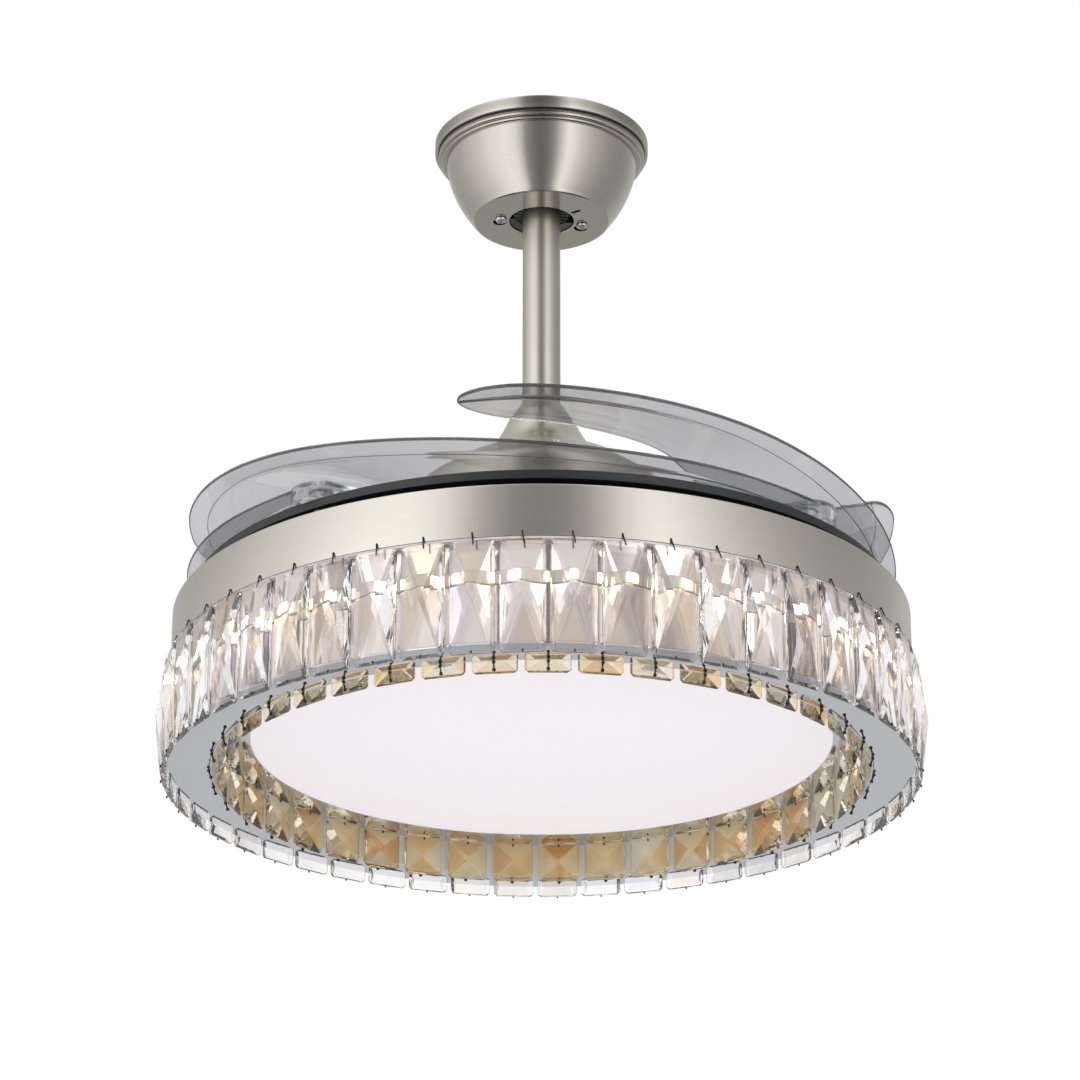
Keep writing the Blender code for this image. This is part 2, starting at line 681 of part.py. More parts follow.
def make_motor_shells(parent):
    """Two shells of the turning motor housing, with vents, bearing hubs and a foot flange."""
    inner = motor_inner_radius
    hub_outer = bearing_hub_radius + bearing_hub_wall
    shoulder_z = motor_top_z - motor_shoulder_drop
    roof_z = motor_top_z - motor_wall
    hub_end_z = roof_z - bearing_width
    split_top = motor_split_z + fit_gap / 2
    split_bottom = motor_split_z - fit_gap / 2
    upper = [(bearing_hub_radius, motor_top_z), (motor_crown_radius, motor_top_z),
             (motor_shoulder_radius, shoulder_z), (motor_radius, motor_top_z - motor_edge_drop),
             (motor_radius, split_top), (inner, split_top),
             (inner, motor_top_z - motor_edge_drop - motor_wall),
             (motor_shoulder_radius - motor_wall, shoulder_z - motor_wall),
             (motor_crown_radius - motor_wall / 2, roof_z), (hub_outer, roof_z),
             (hub_outer, hub_end_z), (bearing_hub_radius, hub_end_z)]
    top_shell = turned("motor_top_shell", upper, finishes["satin_nickel"], parent, motor_steps)
    for turn in around(vent_count, vent_turn - pi / 2):
        vent = cylinder("motor_vent", vent_radius, motor_top_z + cut_overrun,
                        shoulder_z - motor_wall - cut_overrun, parent=parent, steps=vent_steps,
                        group=tools_group)
        vent.location = (vent_circle * cos(turn), vent_circle * sin(turn), 0)
        cut(top_shell, vent)
    flange_z = motor_bottom_z + motor_flange_thickness
    floor_z = motor_bottom_z + motor_wall
    hub_top_z = floor_z + bearing_width
    lower = [(motor_radius, split_bottom), (motor_radius, flange_z), (motor_flange_radius, flange_z),
             (motor_flange_radius, motor_bottom_z), (bearing_hub_radius, motor_bottom_z),
             (bearing_hub_radius, hub_top_z), (hub_outer, hub_top_z), (hub_outer, floor_z),
             (inner, floor_z), (inner, split_bottom)]
    bottom_shell = turned("motor_bottom_shell", lower, finishes["satin_nickel"], parent, motor_steps)
    magnet_top = motor_split_z + magnet_height / 2
    magnet_bottom = motor_split_z - magnet_height / 2
    magnets = ring_outline(magnet_outer_radius, magnet_inner_radius, magnet_top, magnet_bottom)
    turned("magnet_ring", magnets, finishes["magnet_ferrite"], parent, motor_steps)
    yoke = ring_outline(inner - fit_gap, yoke_inner_radius, magnet_top, magnet_bottom)
    turned("rotor_yoke", yoke, finishes["cast_aluminium"], parent, motor_steps)
    for name, top in (("upper_bearing", roof_z), ("lower_bearing", hub_top_z)):
        outline = ring_outline(bearing_radius, shaft_fit_radius, top, top - bearing_width)
        turned(name, outline, finishes["zinc_steel"], parent, rod_steps)
    return bottom_shell


def make_blade_disc(parent, bottom_shell):
    """Black dished disc under the motor, with screws into its flange and bores for the posts."""
    plate_z = disc_top_z - disc_plate
    rim_inner = disc_radius - disc_rim_wall
    outline = [(disc_radius, disc_top_z), (disc_radius, disc_bottom_z), (rim_inner, disc_bottom_z),
               (rim_inner, plate_z), (disc_bore_radius, plate_z), (disc_bore_radius, disc_top_z)]
    disc = turned("blade_disc", outline, finishes["black_steel"], parent, drum_steps)
    for turn in blade_turns:
        bore = cylinder("post_bore", blade_post_radius + fit_gap, disc_top_z + cut_overrun,
                        plate_z - cut_overrun, parent=parent, group=tools_group)
        bore.location = (blade_pivot_circle * cos(turn), blade_pivot_circle * sin(turn), 0)
        cut(disc, bore)
    screw_top = motor_bottom_z + motor_flange_thickness
    for number, turn in enumerate(around(disc_screw_count, blade_first_turn), 1):
        place = (disc_screw_circle * cos(turn), disc_screw_circle * sin(turn), 0)
        hole = cylinder("disc_screw_hole", disc_screw_radius + fit_gap, screw_top + cut_overrun,
                        plate_z - cut_overrun, parent=parent, group=tools_group)
        hole.location = place
        cut(disc, hole)
        cut(bottom_shell, hole)
        head_top = plate_z - fit_gap
        sections = [(disc_screw_radius, screw_top, head_top),
                    (disc_screw_head_radius, head_top, head_top - disc_screw_head_height)]
        screw = stacked(f"disc_screw_{number}", sections, finishes["zinc_steel"], parent)
        screw.location = place


def along(shares, place):
    """Smooth value between the blade's listed places, by a cubic through the neighbours."""
    last = len(blade_place_shares) - 1
    index = max(step for step in range(last) if blade_place_shares[step] <= place)
    left, right = blade_place_shares[index], blade_place_shares[index + 1]
    span = right - left

    def slope_at(step):
        before, after = max(step - 1, 0), min(step + 1, last)
        return (shares[after] - shares[before]) / (blade_place_shares[after] - blade_place_shares[before])

    part = (place - left) / span
    ease = part * part * (3 - 2 * part)
    rise = slope_at(index) * part * (1 - part) ** 2 - slope_at(index + 1) * part * part * (1 - part)
    return shares[index] + (shares[index + 1] - shares[index]) * ease + rise * span


def blade_row(place):
    """Points across the blade at one place along it, from its outer to its inner edge."""
    turn = blade_span * place
    width = blade_width * along(blade_width_shares, place)
    rise = blade_rise * along(blade_rise_shares, place)
    slope = along(blade_slope_shares, place)
    fold = blade_crease_fold_share * min(1.0, place / blade_tip_share)
    end = max(0.0, (place - 1 + blade_tip_share) / blade_tip_share)
    closing = max(sqrt(max(1 - end * end, 0)), blade_tip_share)
    inner_width = width - blade_crease_width
    insets = [0, blade_crease_width]
    insets += [blade_crease_width + inner_width * step / blade_inner_steps
               for step in range(1, blade_inner_steps + 1)]
    points = []
    for inset in insets:
        shrunk = blade_crease_width + (inset - blade_crease_width) * closing
        radius = blade_edge_radius - shrunk
        height = rise + slope * shrunk - fold * min(shrunk, blade_crease_width)
        points.append((radius * cos(turn) - blade_pivot_circle, -radius * sin(turn), height))
    return points


def blade_mesh():
    """Lofted sheet of the blade, in the frame of its pivot at the disc's top."""
    body_span = 1 - blade_tip_share
    places = [body_span * step / blade_body_steps for step in range(blade_body_steps + 1)]
    places += [body_span + blade_tip_share * sin(pi / 2 * step / blade_tip_steps)
               for step in range(1, blade_tip_steps + 1)]
    bm = bmesh.new()
    rows = [[bm.verts.new(point) for point in blade_row(place)] for place in places]
    for first, second in zip(rows, rows[1:]):
        for column in range(len(first) - 1):
            bm.faces.new((first[column], first[column + 1], second[column + 1], second[column]))
    bmesh.ops.recalc_face_normals(bm, faces=bm.faces)
    return mesh_from(bm, "blade")


def make_blade(number, turn, parent, sheet):
    """One clear blade with its hub, its steel post through the disc and its return spring."""
    place = (blade_pivot_circle * cos(turn), blade_pivot_circle * sin(turn), disc_top_z)
    frame = add_frame(f"blade_pivot_{number}", place, turn, parent)
    blade = add_object(f"blade_{number}", sheet, finishes["clear_acrylic"], frame)
    thick = blade.modifiers.new("wall", "SOLIDIFY")
    thick.thickness = blade_thickness
    thick.offset = 0
    hub = cylinder(f"blade_hub_{number}", blade_hub_radius, blade_hub_height, fit_gap,
                   parent=frame, steps=rod_steps, group=tools_group)
    join(blade, hub)
    bore = cylinder(f"blade_bore_{number}", blade_post_radius + fit_gap, blade_rise, -cut_overrun,
                    parent=frame, group=tools_group)
    cut(blade, bore)
    head_bottom = blade_hub_height + fit_gap
    sections = [(blade_post_head_radius, head_bottom + blade_post_head_height, head_bottom),
                (blade_post_radius, head_bottom, -disc_height)]
    stacked(f"pivot_post_{number}", sections, finishes["zinc_steel"], frame)
    spring_frame = add_frame(f"spring_seat_{number}", place, turn, parent)
    make_spring(number, spring_frame)


def make_spring(number, parent):
    """Torsion spring round the post, in the hollow of the disc."""
    curve = bpy.data.curves.new(f"return_spring_{number}", "CURVE")
    curve.dimensions = "3D"
    curve.bevel_depth = spring_wire / 2
    curve.bevel_resolution = 0
    curve.use_fill_caps = True
    coil_radius = blade_post_radius + fit_gap + spring_wire
    pitch = spring_wire + fit_gap + fit_gap
    top = -disc_plate - spring_wire
    count = int(spring_turn_count * spring_turn_steps) + 1
    line = curve.splines.new("POLY")
    line.points.add(count - 1)
    for step, point in enumerate(line.points):
        turn = tau * step / spring_turn_steps
        drop = pitch * step / spring_turn_steps
        point.co = (coil_radius * cos(turn), coil_radius * sin(turn), top - drop, 1)
    add_object(f"return_spring_{number}", curve, finishes["spring_steel"], parent)


def make_lamp_body(parent):
    """Tray on the shaft, satin band round its edge, drum wall, mirror ring and recess."""
    tray_radius = band_radius - band_wall - fit_gap
    collar_top = tray_top_z + tray_collar_height
    tray = [(tray_collar_radius, collar_top), (tray_collar_radius, tray_top_z), (tray_radius, tray_top_z),
            (tray_radius, tray_bottom_z), (shaft_fit_radius, tray_bottom_z), (shaft_fit_radius, collar_top)]
    turned("lamp_tray", tray, finishes["zinc_steel"], parent, drum_steps)
    band_bottom = lamp_top_z - band_height
    inner = band_radius - band_wall
    flange_inner = band_radius - band_flange_width
    band = [(flange_inner, lamp_top_z), (band_radius - band_edge_round, lamp_top_z),
            (band_radius, lamp_top_z - band_edge_round), (band_radius, band_bottom), (inner, band_bottom),
            (inner, lamp_top_z - band_wall), (flange_inner, lamp_top_z - band_wall)]
    turned("nickel_band", band, finishes["satin_nickel"], parent, drum_steps)
    ring_top = ring_bottom_z + ring_thickness
    wall = ring_outline(drum_wall_radius, drum_wall_radius - drum_wall_thickness,
                        tray_bottom_z - fit_gap, ring_top + fit_gap)
    turned("drum_wall", wall, finishes["mirror_steel"], parent, drum_steps)
    ring = ring_outline(band_radius, ring_inner_radius, ring_top, ring_bottom_z)
    turned("bottom_ring", ring, finishes["mirror_steel"], parent, drum_steps)
    strip_outer = drum_wall_radius + fit_gap + led_strip_thickness
    strip_top = lamp_top_z - led_strip_drop
    strip = ring_outline(strip_outer, drum_wall_radius + fit_gap, strip_top, strip_top - led_strip_height)
    turned("led_strip", strip, finishes["circuit_board"], parent, drum_steps)
    recess = ring_outline(recess_outer_radius, recess_inner_radius, pan_flange_z - fit_gap, ring_bottom_z)
    turned("recess_wall", recess, finishes["mirror_steel"], parent, drum_steps)
    trim = ring_outline(recess_inner_radius - fit_gap, diffuser_radius + fit_gap,
                        recess_z + recess_trim_thickness, recess_z)
    turned("recess_trim", trim, finishes["mirror_steel"], parent, drum_steps)


def make_light_source(parent):
    """Opal diffuser on the trim, the reflector pan above it, its board and the electronics."""
    lip_z = recess_z + recess_trim_thickness + fit_gap
    sections = [(diffuser_radius + diffuser_lip, lip_z + diffuser_thickness, lip_z),
                (diffuser_radius, lip_z, recess_z)]
    stacked("diffuser", sections, finishes["opal_acrylic"], parent, drum_steps)
    pan_radius = recess_inner_radius - fit_gap
    flange_outer = drum_wall_radius - drum_wall_thickness - fit_gap
    pan = [(pan_wire_hole_radius, pan_roof_z), (pan_radius, pan_roof_z),
           (pan_radius, pan_flange_z + pan_wall), (flange_outer, pan_flange_z + pan_wall),
           (flange_outer, pan_flange_z), (pan_radius - pan_wall, pan_flange_z),
           (pan_radius - pan_wall, pan_roof_z - pan_wall), (pan_wire_hole_radius, pan_roof_z - pan_wall)]
    turned("lamp_pan", pan, finishes["white_steel"], parent, drum_steps)
    board_top = pan_roof_z - pan_wall - fit_gap
    board = ring_outline(led_panel_radius, led_panel_bore_radius, board_top,
                         board_top - led_panel_thickness)
    turned("led_panel", board, finishes["circuit_board"], parent, motor_steps)
    for number, turn in enumerate(around(pan_standoff_count, pi / 2), 1):
        post = cylinder(f"lamp_standoff_{number}", pan_standoff_radius, tray_bottom_z - fit_gap,
                        pan_roof_z + fit_gap, finishes["zinc_steel"], parent, nut_steps)
        post.location = (pan_standoff_circle * cos(turn), pan_standoff_circle * sin(turn), 0)
    case_top = tray_bottom_z - fit_gap
    cases = (("led_driver", driver_length, driver_width, driver_height, driver_offset, "white_steel"),
             ("remote_receiver", receiver_length, receiver_width, receiver_height, receiver_offset,
              "black_plastic"))
    for name, length, width, height, offset, finish in cases:
        box(name, (-length / 2, offset - width / 2, case_top - height),
            (length / 2, offset + width / 2, case_top), finishes[finish], parent, box_edge_round)


def cut_stone(width, height, depth, base_depth):
    """A flat backed crystal whose front face is cut to a low pyramid; its front faces +X."""
    bm = bmesh.new()
    bmesh.ops.create_cube(bm, size=1.0)
    bmesh.ops.scale(bm, verts=bm.verts, vec=(base_depth, width, height))
    front = max(bm.faces, key=lambda face: face.calc_center_median().x)
    bmesh.ops.translate(bm, verts=bm.verts, vec=(base_depth / 2, 0, 0))
    bmesh.ops.poke(bm, faces=[front], offset=depth - base_depth)
    return bm


def make_crystal_ring(name, count, first_turn, stone, back_radius, middle_z, outward, hoop, finish, parent):
    """All the stones of one ring, joined by the hoop that they hang from, one facet for each stone."""
    bm = bmesh.new()
    mesh = mesh_from(cut_stone(*stone), name + "_stone")
    for turn in around(count, first_turn):
        facing = turn if outward else turn + pi
        place = Vector((back_radius * cos(turn), back_radius * sin(turn), middle_z))
        start = len(bm.verts)
        bm.from_mesh(mesh)
        bm.verts.ensure_lookup_table()
        bmesh.ops.transform(bm, matrix=Matrix.Translation(place) @ Matrix.Rotation(facing, 4, "Z"),
                            verts=bm.verts[start:])
    stones_mesh = mesh_from(bm, name + "_stones")
    stones = add_object(name + "_stones", stones_mesh, parent=parent, group=tools_group)
    ring = turned(name, hoop, finish, parent, count)
    ring.rotation_euler.z = first_turn + pi / count
    join(ring, stones)


def make_outer_crystals(parent):
    """Tall clear stones round the drum, on a hoop behind their top ends."""
    middle = crystal_top_z - crystal_height / 2
    hoop_outer = crystal_back_radius + crystal_hoop_radial / 2
    hoop_top = crystal_top_z - crystal_hoop_inset
    hoop = ring_outline(hoop_outer, hoop_outer - crystal_hoop_radial, hoop_top,
                        hoop_top - crystal_hoop_height)
    make_crystal_ring("outer_crystals", crystal_count, crystal_turn - pi / 2,
                      (crystal_width, crystal_height, crystal_depth, crystal_base_depth),
                      crystal_back_radius, middle, True, hoop, finishes["clear_crystal"], parent)


def make_inner_crystals(parent):
    """Square amber stones round the recess, held by a hoop between them and the recess wall."""
    middle = recess_z - pendant_height / 2
    hoop_outer = recess_flat_radius
    hoop = ring_outline(hoop_outer, pendant_back_radius - crystal_hoop_radial,
                        middle + crystal_hoop_height, middle)
    make_crystal_ring("inner_crystals", pendant_count, pendant_turn - pi / 2,
                      (pendant_width, pendant_height, pendant_depth, pendant_base_depth),
                      pendant_back_radius, middle, False, hoop, finishes["amber_crystal"], parent)


clear_scene()
parts_group = new_collection("chandelier_ceiling_fan")
tools_group = new_collection("cutters")
finishes = make_materials()
blade_turns = around(blade_count, blade_first_turn)

ceiling_frame = add_frame("ceiling_frame", (0, 0, 0), bracket_turn)
make_bracket(ceiling_frame)
make_canopy(ceiling_frame)
make_canopy_screws(ceiling_frame)

hanger_frame = add_frame("hanger_frame", (0, 0, ball_z), bracket_turn)
bolt_height = rod_bottom_z + coupler_bolt_rise
pin_height = make_ball(hanger_frame)
make_downrod(hanger_frame, pin_height, bolt_height)

coupler_frame = add_frame("coupler_frame", (0, 0, ball_depth), parent=hanger_frame)
make_coupler(coupler_frame, bolt_height)

lamp_frame = add_frame("lamp_frame", (0, 0, ball_depth), -bracket_turn, hanger_frame)
make_cover(lamp_frame)
make_shaft(lamp_frame)
make_stator(lamp_frame)
make_lamp_body(lamp_frame)
make_light_source(lamp_frame)
make_outer_crystals(lamp_frame)
make_inner_crystals(lamp_frame)

rotor_frame = add_frame("rotor_frame", (0, 0, 0), parent=lamp_frame)
lower_shell = make_motor_shells(rotor_frame)
make_blade_disc(rotor_frame, lower_shell)
blade_sheet = blade_mesh()
for blade_number, blade_turn in enumerate(blade_turns, 1):
    make_blade(blade_number, blade_turn, rotor_frame, blade_sheet)
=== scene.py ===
import json
import random
from math import asin, cos, hypot, pi, radians, sin, sqrt, tau

import bmesh
import bpy
from mathutils import Matrix, Vector


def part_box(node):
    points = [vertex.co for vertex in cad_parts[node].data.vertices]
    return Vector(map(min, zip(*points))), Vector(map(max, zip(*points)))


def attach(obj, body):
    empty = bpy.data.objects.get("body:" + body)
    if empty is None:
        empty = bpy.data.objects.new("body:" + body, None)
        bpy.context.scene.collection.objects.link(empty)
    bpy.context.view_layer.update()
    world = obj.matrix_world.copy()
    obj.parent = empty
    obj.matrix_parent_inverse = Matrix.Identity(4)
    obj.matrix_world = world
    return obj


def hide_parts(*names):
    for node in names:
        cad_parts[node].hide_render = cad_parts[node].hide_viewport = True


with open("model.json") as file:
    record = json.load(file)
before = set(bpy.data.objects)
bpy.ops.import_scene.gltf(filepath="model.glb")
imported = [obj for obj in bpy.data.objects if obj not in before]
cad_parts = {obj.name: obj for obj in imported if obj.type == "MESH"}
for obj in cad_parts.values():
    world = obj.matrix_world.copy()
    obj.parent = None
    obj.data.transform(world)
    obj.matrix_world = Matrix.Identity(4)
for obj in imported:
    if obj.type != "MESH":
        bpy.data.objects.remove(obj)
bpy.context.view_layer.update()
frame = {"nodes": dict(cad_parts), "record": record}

collection = bpy.context.scene.collection
node_slots = {part["node"]: part["material_slot"] for part in frame["record"]["subparts"]}
packed_bodies = frame["record"]["behaviour"]["bodies"]
node_bodies = {node: body for body, nodes in packed_bodies.items() for node in nodes}

# Smoothness of curved pieces, gaps and rounding
fine_steps = 256
medium_steps = 96
small_steps = 32
fillet_steps = 5
sharp_angle = radians(28)
facet_angle = radians(12)
level_share = 0.9999
weld_distance = 0.000001
fit_gap = 0.0003
edge_round = 0.0003
soft_round = 0.0008

# Camera: a long lens in front of the fan and below it
camera_place = (0, -2.540, -1.327)
camera_pitch = radians(22.145)
camera_lens = 138.33
camera_shift = -0.0014

# Studio
floor_height = -2.4
floor_radius = 7.0
softbox_turn = radians(35)
softbox_distance = 2.9
softbox_height = -0.7
softbox_size = (0.9, 2.6)
softbox_power = 14.0
background_level = 1.0
fill_level = 0.62
floor_thickness = 0.02
floor_roughness = 0.9
floor_grain = 8.0
floor_tints = ((0.83, 0.835, 0.85), (0.85, 0.855, 0.87))
# What the metal reflects, by the angle from the front in degrees, to the right above zero
reflected_levels = ((-180, 0.62), (-144, 0.57), (-128, 0.64), (-112, 0.75), (-96, 0.96), (-80, 1.15),
                    (-64, 1.45), (-45, 1.65), (-32, 1.50), (-25, 1.10), (-19, 0.52), (-13, 0.38),
                    (-6, 0.28), (0, 0.26), (8, 0.32), (16, 0.52), (24, 1.10), (32, 1.65), (40, 1.50),
                    (48, 1.20), (64, 0.83), (80, 0.60), (96, 0.49), (112, 0.46), (128, 0.52), (144, 0.63),
                    (180, 0.62))
full_turn_degrees = 360
# Downward directions behind the fan fade between two heights to a share of that
low_fade = (-0.42, -0.36, 0.78)
back_share = 0.6
# Directions near one height, as the canopy's rim and the rod see them, fade to a share between two distances
high_fade = (0.47, 0.04, 0.08, 0.72)

# Canopy
bracket_turn = radians(9.5)
canopy_wall = 0.0012
canopy_neck_radius = 0.0654
canopy_bowl_reach = 0.0183
canopy_bowl_turns = (radians(7.5), radians(41.3))
canopy_foot_height = 0.0017
canopy_foot_radius = 0.0461
canopy_foot_round = 0.0012
canopy_hole_radius = 0.0220
canopy_rim_height = 0.0150
canopy_groove_height = 0.0086
canopy_groove_depth = 0.0024
canopy_groove_width = 0.0013
# Beads, as inset from the rim, drop below its top, and radius
canopy_beads = ((0.0036, 0.0115, 0.0013), (0.0056, 0.0139, 0.0011))
canopy_bead_turns = [radians(step) for step in range(70, -75, -10)]
canopy_lip_round = 0.0010
# Black ring in the groove: painted shade under the rim's lip
groove_shade_reach = 0.0004
# Black sheets inside the canopy and under the motor's crown are painted shade
shade_sheet_gap = 0.0011
shade_sheet_wall = 0.0004
shade_sheet_hole_radius = 0.0234
canopy_screw_circle = 0.0280
canopy_screw_hole = 0.0023
keyhole_radius = 0.0046
keyhole_offset = 0.0052
mark_size = (0.0070, 0.0026)
mark_turn = radians(-43)
bowl_steps = 28

# Canopy screws
screw_crown_share = 0.55
screw_crown_round = 0.0006
screw_side_share = 0.93
screw_side_height = 0.0010
screw_side_round = 0.0007
screw_edge_round = 0.0002
recess_length = 0.0046
recess_width = 0.0009
recess_sink = 0.0009
recess_turns = (radians(20), radians(110))

# Ball and rod
ball_radius = 0.02005
ball_land = 0.0012
ball_steps = 20
key_width = 0.0040
key_depth_share = 0.9
rod_wall = 0.0020
collar_radius = 0.0190
collar_gap = 0.0019
collar_height = 0.0024
rib_count = 22
rib_width = 0.0014

# Bell cover, as radius, share of its height below the top, and fillet
cover_wall = 0.0012
cover_rows = ((0.01455, 0.00, 0.000), (0.0196, 0.15, 0.004), (0.0270, 0.50, 0.012),
              (0.0370, 0.80, 0.012), (0.0545, 0.965, 0.004), (0.0580, 1.00, 0.000))

# Motor
motor_radius = 0.0860
motor_wall = 0.0025
motor_crown_radius = 0.0600
motor_hub_radius = 0.0203
motor_shoulder_radius = 0.0820
motor_shoulder_drop = 0.0150
motor_side_drop = 0.0210
motor_crown_round = 0.0020
motor_side_round = 0.0030
motor_flange_thickness = 0.0047
motor_groove_depth = 0.0008
motor_groove_start = 0.0024
motor_groove_end = 0.0032
vent_count = 16
vent_radius = 0.0028
vent_circle = 0.0700
vent_turn = radians(-14.6)

# Disc that carries the blades
disc_bore_radius = 0.0240
disc_rim_wall = 0.0015
disc_plate = 0.0015
disc_rim_round = 0.0007

# Blades, with the same sheet as in the solids
blade_count = 4
blade_first_turn = radians(50.5)
blade_pivot_circle = 0.2150
blade_edge_radius = 0.2321
blade_span = radians(154)
blade_width = 0.0840
blade_rise = 0.0545
blade_thickness = 0.0028
blade_edge_round = 0.0009
blade_line_radius = 0.00045
blade_crease_radius = 0.00025
blade_crease_width = 0.0120
blade_crease_fold_share = 0.27
blade_tip_share = 0.060
blade_body_steps = 84
blade_tip_steps = 18
blade_crease_steps = 5
blade_inner_steps = 14
blade_place_shares = (0.00, 0.06, 0.13, 0.26, 0.34, 0.41, 0.49, 0.62, 0.71, 0.82, 0.92, 1.00)
blade_rise_shares = (0.15, 0.16, 0.19, 0.24, 0.31, 0.39, 0.50, 0.70, 0.82, 0.93, 1.00, 0.99)
blade_width_shares = (0.36, 0.36, 0.42, 0.74, 0.93, 0.99, 1.00, 0.99, 0.94, 0.83, 0.68, 0.52)
blade_slope_shares = (0.00, 0.05, 0.05, 0.00, -0.08, -0.12, -0.12, 0.04, 0.15, 0.14, 0.11, 0.10)
hub_radius = 0.0190
hub_height = 0.0118
hub_round = 0.0016
post_radius = 0.0040
post_head_radius = 0.0080
post_head_height = 0.0020

# Drum lamp
band_wall = 0.0010
band_flange_width = 0.0150
band_edge_round = 0.0014
band_hem = 0.0016
ring_inner_radius = 0.2140
diffuser_round = 0.0012
diffuser_lip = 0.0070
diffuser_lip_height = 0.0030
drum_wall_thickness = 0.0008
led_board_thickness = 0.0012
hoop_gap = 0.0002
hoop_height = 0.0014
chip_count = 88
chip_size = (0.0010, 0.0042, 0.0056)

# Outer crystals
crystal_count = 50
crystal_turn = radians(4.6)
crystal_back_radius = 0.2413
crystal_width = 0.02772
crystal_end_trim = 0.0005
crystal_corner = 0.0020
# Bevel round the face at the sides, top and bottom
crystal_inset = (0.0026, 0.0044, 0.0012)
crystal_girdle = 0.0022
crystal_face = 0.0038
# Levels outwards: back peak, back face, back girdle, front girdle, front face and front peak
crystal_levels = (-0.0028, 0.0004, 0.0008, crystal_girdle, crystal_face, 0.0087)
crystal_edge_round = 0.00022
crystal_wobble = radians(1.0)
crystal_tilt_share = 0.25
crystal_seed = 5
hook_radius = 0.00055
hook_slant = 0.0013
hook_rise = 0.0054
hook_drop = 0.0030
hook_foot_drop = 0.0002
hook_foot_reach = 0.0014
hook_stand_off = 0.0004
hook_bead_radius = 0.0006

# Inner crystals
pendant_count = 41
pendant_turn = radians(1.1)
pendant_back_radius = 0.21074
pendant_width = 0.0280
pendant_corner = 0.0022
pendant_inset = (0.0014, 0.0014, 0.0014)
pendant_face = 0.0038
pendant_levels = (-0.0014, 0.0016, 0.0020, 0.0030, pendant_face, 0.0077)
pendant_seed = 11
pin_circle = 0.2136
pin_lean = 0.0008
pin_radius = 0.00055
pin_head_radius = 0.00120
pin_twist = 0.0004
pin_twist_count = 6
pin_top_reach = 0.0030

# Finishes: noise is spread over the middle of its range
noise_range = (0.3, 0.7)
noise_detail = 3.0
fine_bump = 0.0002
coarse_bump = 0.0003
quarter_turn = 0.25
# Shares of its colour and of its roughness between which each kind of finish varies
finish_shares = {
    "brushed": ((0.93, 1.06), (0.88, 1.12)),
    "polished": ((0.96, 1.03), (0.7, 1.4)),
    "plain": ((0.85, 1.08), (0.8, 1.25)),
    "coated": ((0.88, 1.12), (0.85, 1.2)),
    "laminated": ((0.7, 1.15), (0.85, 1.2)),
    "wound": ((0.55, 1.2), (0.25, 0.45)),
    "glowing": ((0.99, 1.0), (0.9, 1.1)),
}

# Brushed metals: colour, share of it, roughness, anisotropy and bump strength
nickel_colour = (0.63, 0.60, 0.535)
brushed_metals = {
    "satin_nickel": (nickel_colour, 1.00, 0.30, 0.55, 0.16),
    # The canopy's nickel takes 0.77 of the colour: a darker copy, painted shade
    "canopy_nickel": (nickel_colour, 0.77, 0.11, 0.10, 0.04),
    "rod_nickel": (nickel_colour, 0.92, 0.42, 0.55, 0.16),
    "nickel_aluminium": (nickel_colour, 1.00, 0.36, 0.55, 0.16),
}
brush_scales = (9.0, 900.0)
brush_detail = 4.0
smudge_scale = 14.0

# Polished metals: colour and roughness
polished_metals = {
    "mirror_steel": ((0.70, 0.71, 0.74), 0.045),
    "drum_steel": ((0.72, 0.66, 0.62), 0.16),
}
polish_mark_scale = 60.0
ripple_scales = (5.0, 160.0)
ripple_strength = 0.05

# Plated, cast or drawn metals: colour, roughness, scale of the grain and bump strength
plain_metals = {
    "zinc_steel": ((0.60, 0.61, 0.62), 0.30, 260.0, 0.12),
    "spring_steel": ((0.50, 0.50, 0.50), 0.25, 400.0, 0.05),
    "cast_aluminium": ((0.62, 0.62, 0.62), 0.48, 180.0, 0.35),
    "black_wire": ((0.05, 0.05, 0.055), 0.35, 500.0, 0.05),
}
stain_scale = 22.0

# Paint, plastic and board: colour, roughness, scale of the grain, bump strength and coat
coatings = {
    "magnet_ferrite": ((0.08, 0.08, 0.09), 0.60, 300.0, 0.25, 0.0),
    "black_steel": ((0.018, 0.019, 0.022), 0.42, 700.0, 0.06, 0.05),
    "white_steel": ((0.80, 0.80, 0.79), 0.42, 500.0, 0.08, 0.2),
    "black_plastic": ((0.020, 0.020, 0.022), 0.42, 1100.0, 0.18, 0.0),
    "circuit_board": ((0.85, 0.86, 0.83), 0.45, 700.0, 0.06, 0.0),
    # Dark lines along the blades' edges and creases: painted shade
    "painted_edge_shade": ((0.10, 0.105, 0.13), 0.25, 400.0, 0.03, 0.0),
}
coat_roughness = 0.12
coating_detail = 4.0
wear_scale = 30.0

# Stacked sheets and wound wire
laminated_metals = {"laminated_steel": ((0.30, 0.30, 0.31), 0.50)}
sheet_waves = {"Scale": 320.0, "Distortion": 0.4}
sheet_grain = 90.0
sheet_strength = 0.3
wound_wires = {"copper_wire": ((0.60, 0.28, 0.12),)}
wire_coat = 0.6
wire_scales = (130.0, 40.0)
wire_strength = 0.8
wire_bump = 0.0006

# Clear acrylics: colour, share of it at the other end of the tint, and scale of the tint
clear_acrylics = {
    "clear_acrylic": ((0.60, 0.598, 0.618), 0.96, 6.0),
    "hub_acrylic": ((0.86, 0.86, 0.88), 0.97, 30.0),
}
acrylic_values = {"Transmission Weight": 1.0, "Alpha": 0.87, "IOR": 1.47}
acrylic_haze = 0.03
haze_scale = 45.0
